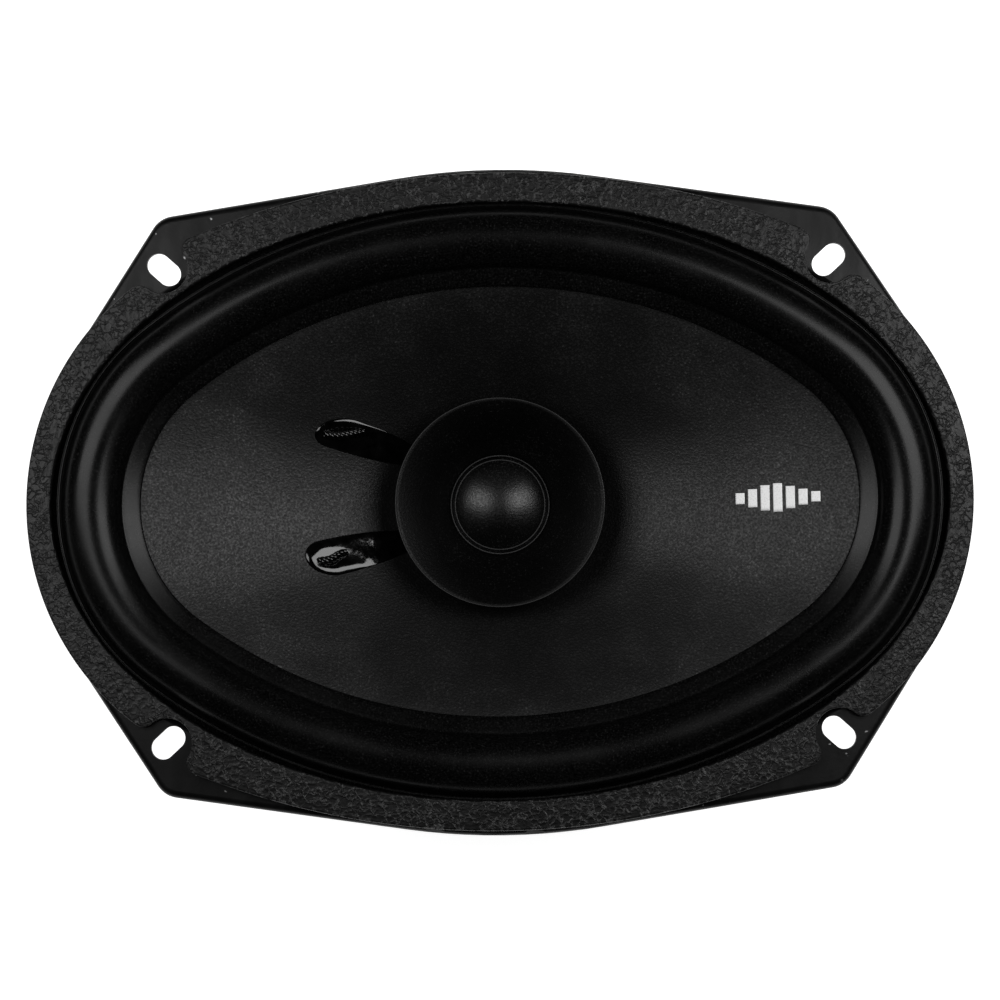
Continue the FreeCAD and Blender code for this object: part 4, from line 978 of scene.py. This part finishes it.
def seal_half_width(along):
    """Half width of the seal: a round head that narrows to the strip down the slope."""
    if along > 0:
        return math.sqrt(max(0.0, SEAL_HEAD**2 - along**2))
    share = min(1, max(0, 1 + along / SEAL_TAPER))
    return SEAL_STRIP_HALF + (SEAL_HEAD - SEAL_STRIP_HALF) * share * (2 - share)


def seal_height(name, along, share):
    """Height of the adhesive: thick rounded edges, and a shallow dip round the wire in the head."""
    head = ease(1 + (along + 2) / 9)
    edge = (1 - abs(share)**3.2) ** 0.6
    dip = 0.5 * head * math.exp(-((share / 0.42)**2 + ((along + 1.0) / 3.4)**2))
    lumps = 0.14 * noise.noise(Vector((along * 0.28, share * 1.2, 2.0 if name == "upper" else 5.0)))
    strip = 0.42 + 0.58 * head
    return SEAL_HEIGHT[name] * (strip * edge - dip * edge) + lumps * edge - 0.04


def build_seal(name):
    head_turns = np.linspace(0, math.pi / 2, 12)[:-1]
    runs = list(np.arange(-SEAL_RUN, 0, SEAL_SPACING))
    runs += list(SEAL_HEAD * np.sin(head_turns)) + [SEAL_HEAD - 0.02]
    shares = np.sin(np.linspace(-math.pi / 2, math.pi / 2, 25))
    points = []
    for along in runs:
        half = seal_half_width(along)
        tail = ease((along + SEAL_RUN) / 1.5)
        for share in shares:
            height = seal_height(name, along, share) * (0.3 + 0.7 * tail)
            if along > 0:
                height *= (1 - (along / SEAL_HEAD)**4) ** 0.5
            points.append(seal_place(name, along, share * half, height))
        for share in shares[::-1]:
            points.append(seal_place(name, along, share * half, -SEAL_ROOT))
    columns = 2 * len(shares)
    faces = grid_faces(len(runs), columns, wrap_rows=False)
    last = (len(runs) - 1) * columns
    faces.append(tuple(range(columns))[::-1])
    faces.append(tuple(range(last, last + columns)))
    faces = [face[::-1] for face in faces]
    seal = new_piece(f"adhesive_seal_{name}", points, faces, ADHESIVE, "lead_adhesive", "cone_assembly")
    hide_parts(f"lead_seal_{name}")
    build_knot(name)


# twisted wire end: its length, how far it sits below the eyelet, and its sideways lean
KNOT_LENGTH = 8.0
KNOT_SHIFT = 1.4
KNOT_LEAN = {"upper": 0.5, "lower": 0.0}
KNOT_WANDER = 0.5
KNOT_HEIGHT = 1.8


def build_knot(name):
    """Twisted end of the coil wire that comes up through the eyelet, coated in the adhesive."""
    path = []
    for share in np.linspace(0, 1, 60):
        along = KNOT_LENGTH * (0.5 - share)
        across = KNOT_LEAN[name] * along + KNOT_WANDER * math.sin(5.2 * share)
        height = KNOT_HEIGHT * math.sin(math.pi * (0.1 + 0.86 * share)) ** 0.7 - 0.1
        path.append(seal_place(name, along - KNOT_SHIFT, across, height))
    skin = twisted(np.array(path), 3, strand_radius=0.48, reach=0.6, lay=3.6, sides=10)
    new_piece(f"wire_knot_{name}", *skin, ADHESIVE, "lead_adhesive", "cone_assembly")


# printed bars: place of the middle bar, their heights, spacing and width, and the ink's thickness
MARK_CENTRE = 70.2
MARK_BARS = (2.8, 4.6, 6.4, 7.2, 5.6, 4.0, 2.6)
MARK_PITCH = 3.05
MARK_BAR = 2.2
MARK_STEPS = 9
INK = 0.05


def cone_level(x, y):
    """Level of the cone's face at a place near its +X end."""
    grow = EDGE_RADIUS - NECK_RADIUS
    square = END_CENTRE**2 - grow**2
    half = END_CENTRE * x + NECK_RADIUS * grow
    rest = x * x + y * y - NECK_RADIUS**2
    return NECK_LEVEL + SLOPE_RISE * (half - math.sqrt(half**2 - square * rest)) / square


def build_mark():
    """Generic row of equaliser bars printed on the cone."""
    skins = []
    steps = MARK_STEPS
    for number, height in enumerate(MARK_BARS):
        middle = MARK_CENTRE + (number - (len(MARK_BARS) - 1) / 2) * MARK_PITCH
        points = []
        for lift in (INK, -INK):
            for row in range(steps):
                for column in range(steps):
                    x = middle + MARK_BAR * (column / (steps - 1) - 0.5)
                    y = height * (row / (steps - 1) - 0.5)
                    points.append((x, y, cone_level(x, y) + lift))
        sheet = grid_faces(steps, steps, wrap_rows=False, wrap_columns=False)
        under = [tuple(index + steps * steps for index in face[::-1]) for face in sheet]
        rim = list(range(steps)) + [steps * row + steps - 1 for row in range(1, steps)]
        rim += list(range(steps * steps - 2, steps * (steps - 1) - 1, -1))
        rim += [steps * row for row in range(steps - 2, 0, -1)]
        sides = []
        for here, there in zip(rim, rim[1:] + rim[:1]):
            sides.append((there, here, here + steps * steps, there + steps * steps))
        skins.append((np.array(points), sheet + under + sides))
    new_piece("equaliser_mark", *join_skins(skins), ink_material(), "cone_paper", "cone_assembly")


# ---- glue beads behind the basket -------------------------------------------------------------

PLATE_BEAD = 0.5
SPIDER_BEAD = 0.55


def build_glue_bead(name, reach, level, radius, body):
    """Squeezed-out ring of glue, thicker in some places than in others."""
    ring = lathe(name, bead_ring(radius, reach, level), ADHESIVE, "lead_adhesive", None, 180)
    for vertex in ring.data.vertices:
        place = vertex.co / MM
        turn = math.atan2(place.y, place.x)
        swell = 0.25 * radius * noise.noise(Vector((3 * math.cos(turn), 3 * math.sin(turn), reach)))
        outward = Vector((place.x, place.y, 0)).normalized()
        vertex.co = (place + outward * swell) * MM
    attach(ring, body)


def build_glue():
    """Beads at both faces of the magnet, and at the spider's rim."""
    plate = high("t_yoke").x + 0.2
    build_glue_bead("plate_glue_rear", plate, low("magnet").z, PLATE_BEAD, "root")
    build_glue_bead("plate_glue_front", plate, high("magnet").z, PLATE_BEAD, "root")
    rim = high("spider").x - 0.2
    build_glue_bead("spider_glue", rim, LEDGE_LEVEL + 0.35, SPIDER_BEAD, "root")


# ---- room, light and camera ---------------------------------------------------------------------

# the room is in metres and the lens in millimetres; a box is BOX_SIDE out, BOX_FAR on and BOX_LEVEL up
CAMERA_DISTANCE = 0.56
CAMERA_TILT = math.radians(2.6)
CAMERA_ROLL = math.radians(-0.9)
CAMERA_LENS = 81.2
FLOOR_SIZE = 8.0
BOX_SIDE = 0.24
BOX_FAR = 0.08
BOX_LEVEL = 0.345
BOX_WIDTH = 0.2
BOX_DEPTH = 0.3
LEFT_RADIANCE = 4.7
RIGHT_RADIANCE = 5.8
ROOM_GLOW = 0.006


def build_floor():
    level = cad_box[0].z
    corners = [(-1, -1), (1, -1), (1, 1), (-1, 1)]
    mesh = bpy.data.meshes.new("floor")
    half = FLOOR_SIZE / 2
    mesh.from_pydata([(x * half, y * half, level) for x, y in corners], [], [(0, 1, 2, 3)])
    mesh.materials.append(floor_material())
    floor = bpy.data.objects.new("floor", mesh)
    bpy.context.scene.collection.objects.link(floor)


def softbox(name, place, width, depth, radiance):
    """Rectangular light that faces the part's origin and doesn't show in the picture."""
    light = bpy.data.lights.new(name, "AREA")
    light.shape = "RECTANGLE"
    light.size = width
    light.size_y = depth
    light.energy = radiance * math.pi * width * depth
    lamp = bpy.data.objects.new(name, light)
    lamp.location = place
    lamp.rotation_euler = Vector(place).to_track_quat("Z", "Y").to_euler()
    lamp.visible_camera = False
    bpy.context.scene.collection.objects.link(lamp)


def build_lights():
    """Two long softboxes above the ends of the oval, and a very dim room."""
    softbox("left_box", (-BOX_SIDE, BOX_FAR, BOX_LEVEL), BOX_WIDTH, BOX_DEPTH, LEFT_RADIANCE)
    softbox("right_box", (BOX_SIDE, BOX_FAR, BOX_LEVEL), BOX_WIDTH, BOX_DEPTH, RIGHT_RADIANCE)
    world = bpy.data.worlds.new("studio")
    world.use_nodes = True
    background = world.node_tree.nodes["Background"]
    background.inputs["Color"].default_value = (1, 1, 1, 1)
    background.inputs["Strength"].default_value = ROOM_GLOW
    bpy.context.scene.world = world


def build_camera():
    camera = bpy.data.objects.new("camera", bpy.data.cameras.new("camera"))
    camera.data.lens = CAMERA_LENS
    camera.data.sensor_width = 36.0
    aim = Vector((0, 0, low("front_gasket").z * MM))
    camera.location = aim + CAMERA_DISTANCE * Vector((0, -math.sin(CAMERA_TILT), math.cos(CAMERA_TILT)))
    turn = Euler((CAMERA_TILT, 0, 0)).to_matrix() @ Euler((0, 0, CAMERA_ROLL)).to_matrix()
    camera.rotation_euler = turn.to_euler()
    bpy.context.scene.collection.objects.link(camera)
    bpy.context.scene.camera = camera


build_camera()
build_floor()
build_lights()
paint_cad_nodes()
build_front_gasket()
build_surround()
build_spider()
build_leads()
build_cone()
build_whizzer()
build_dust_cap()
for seal in SEALS:
    build_seal(seal)
build_mark()
build_glue()
bpy.context.scene.view_settings.view_transform = "Standard"
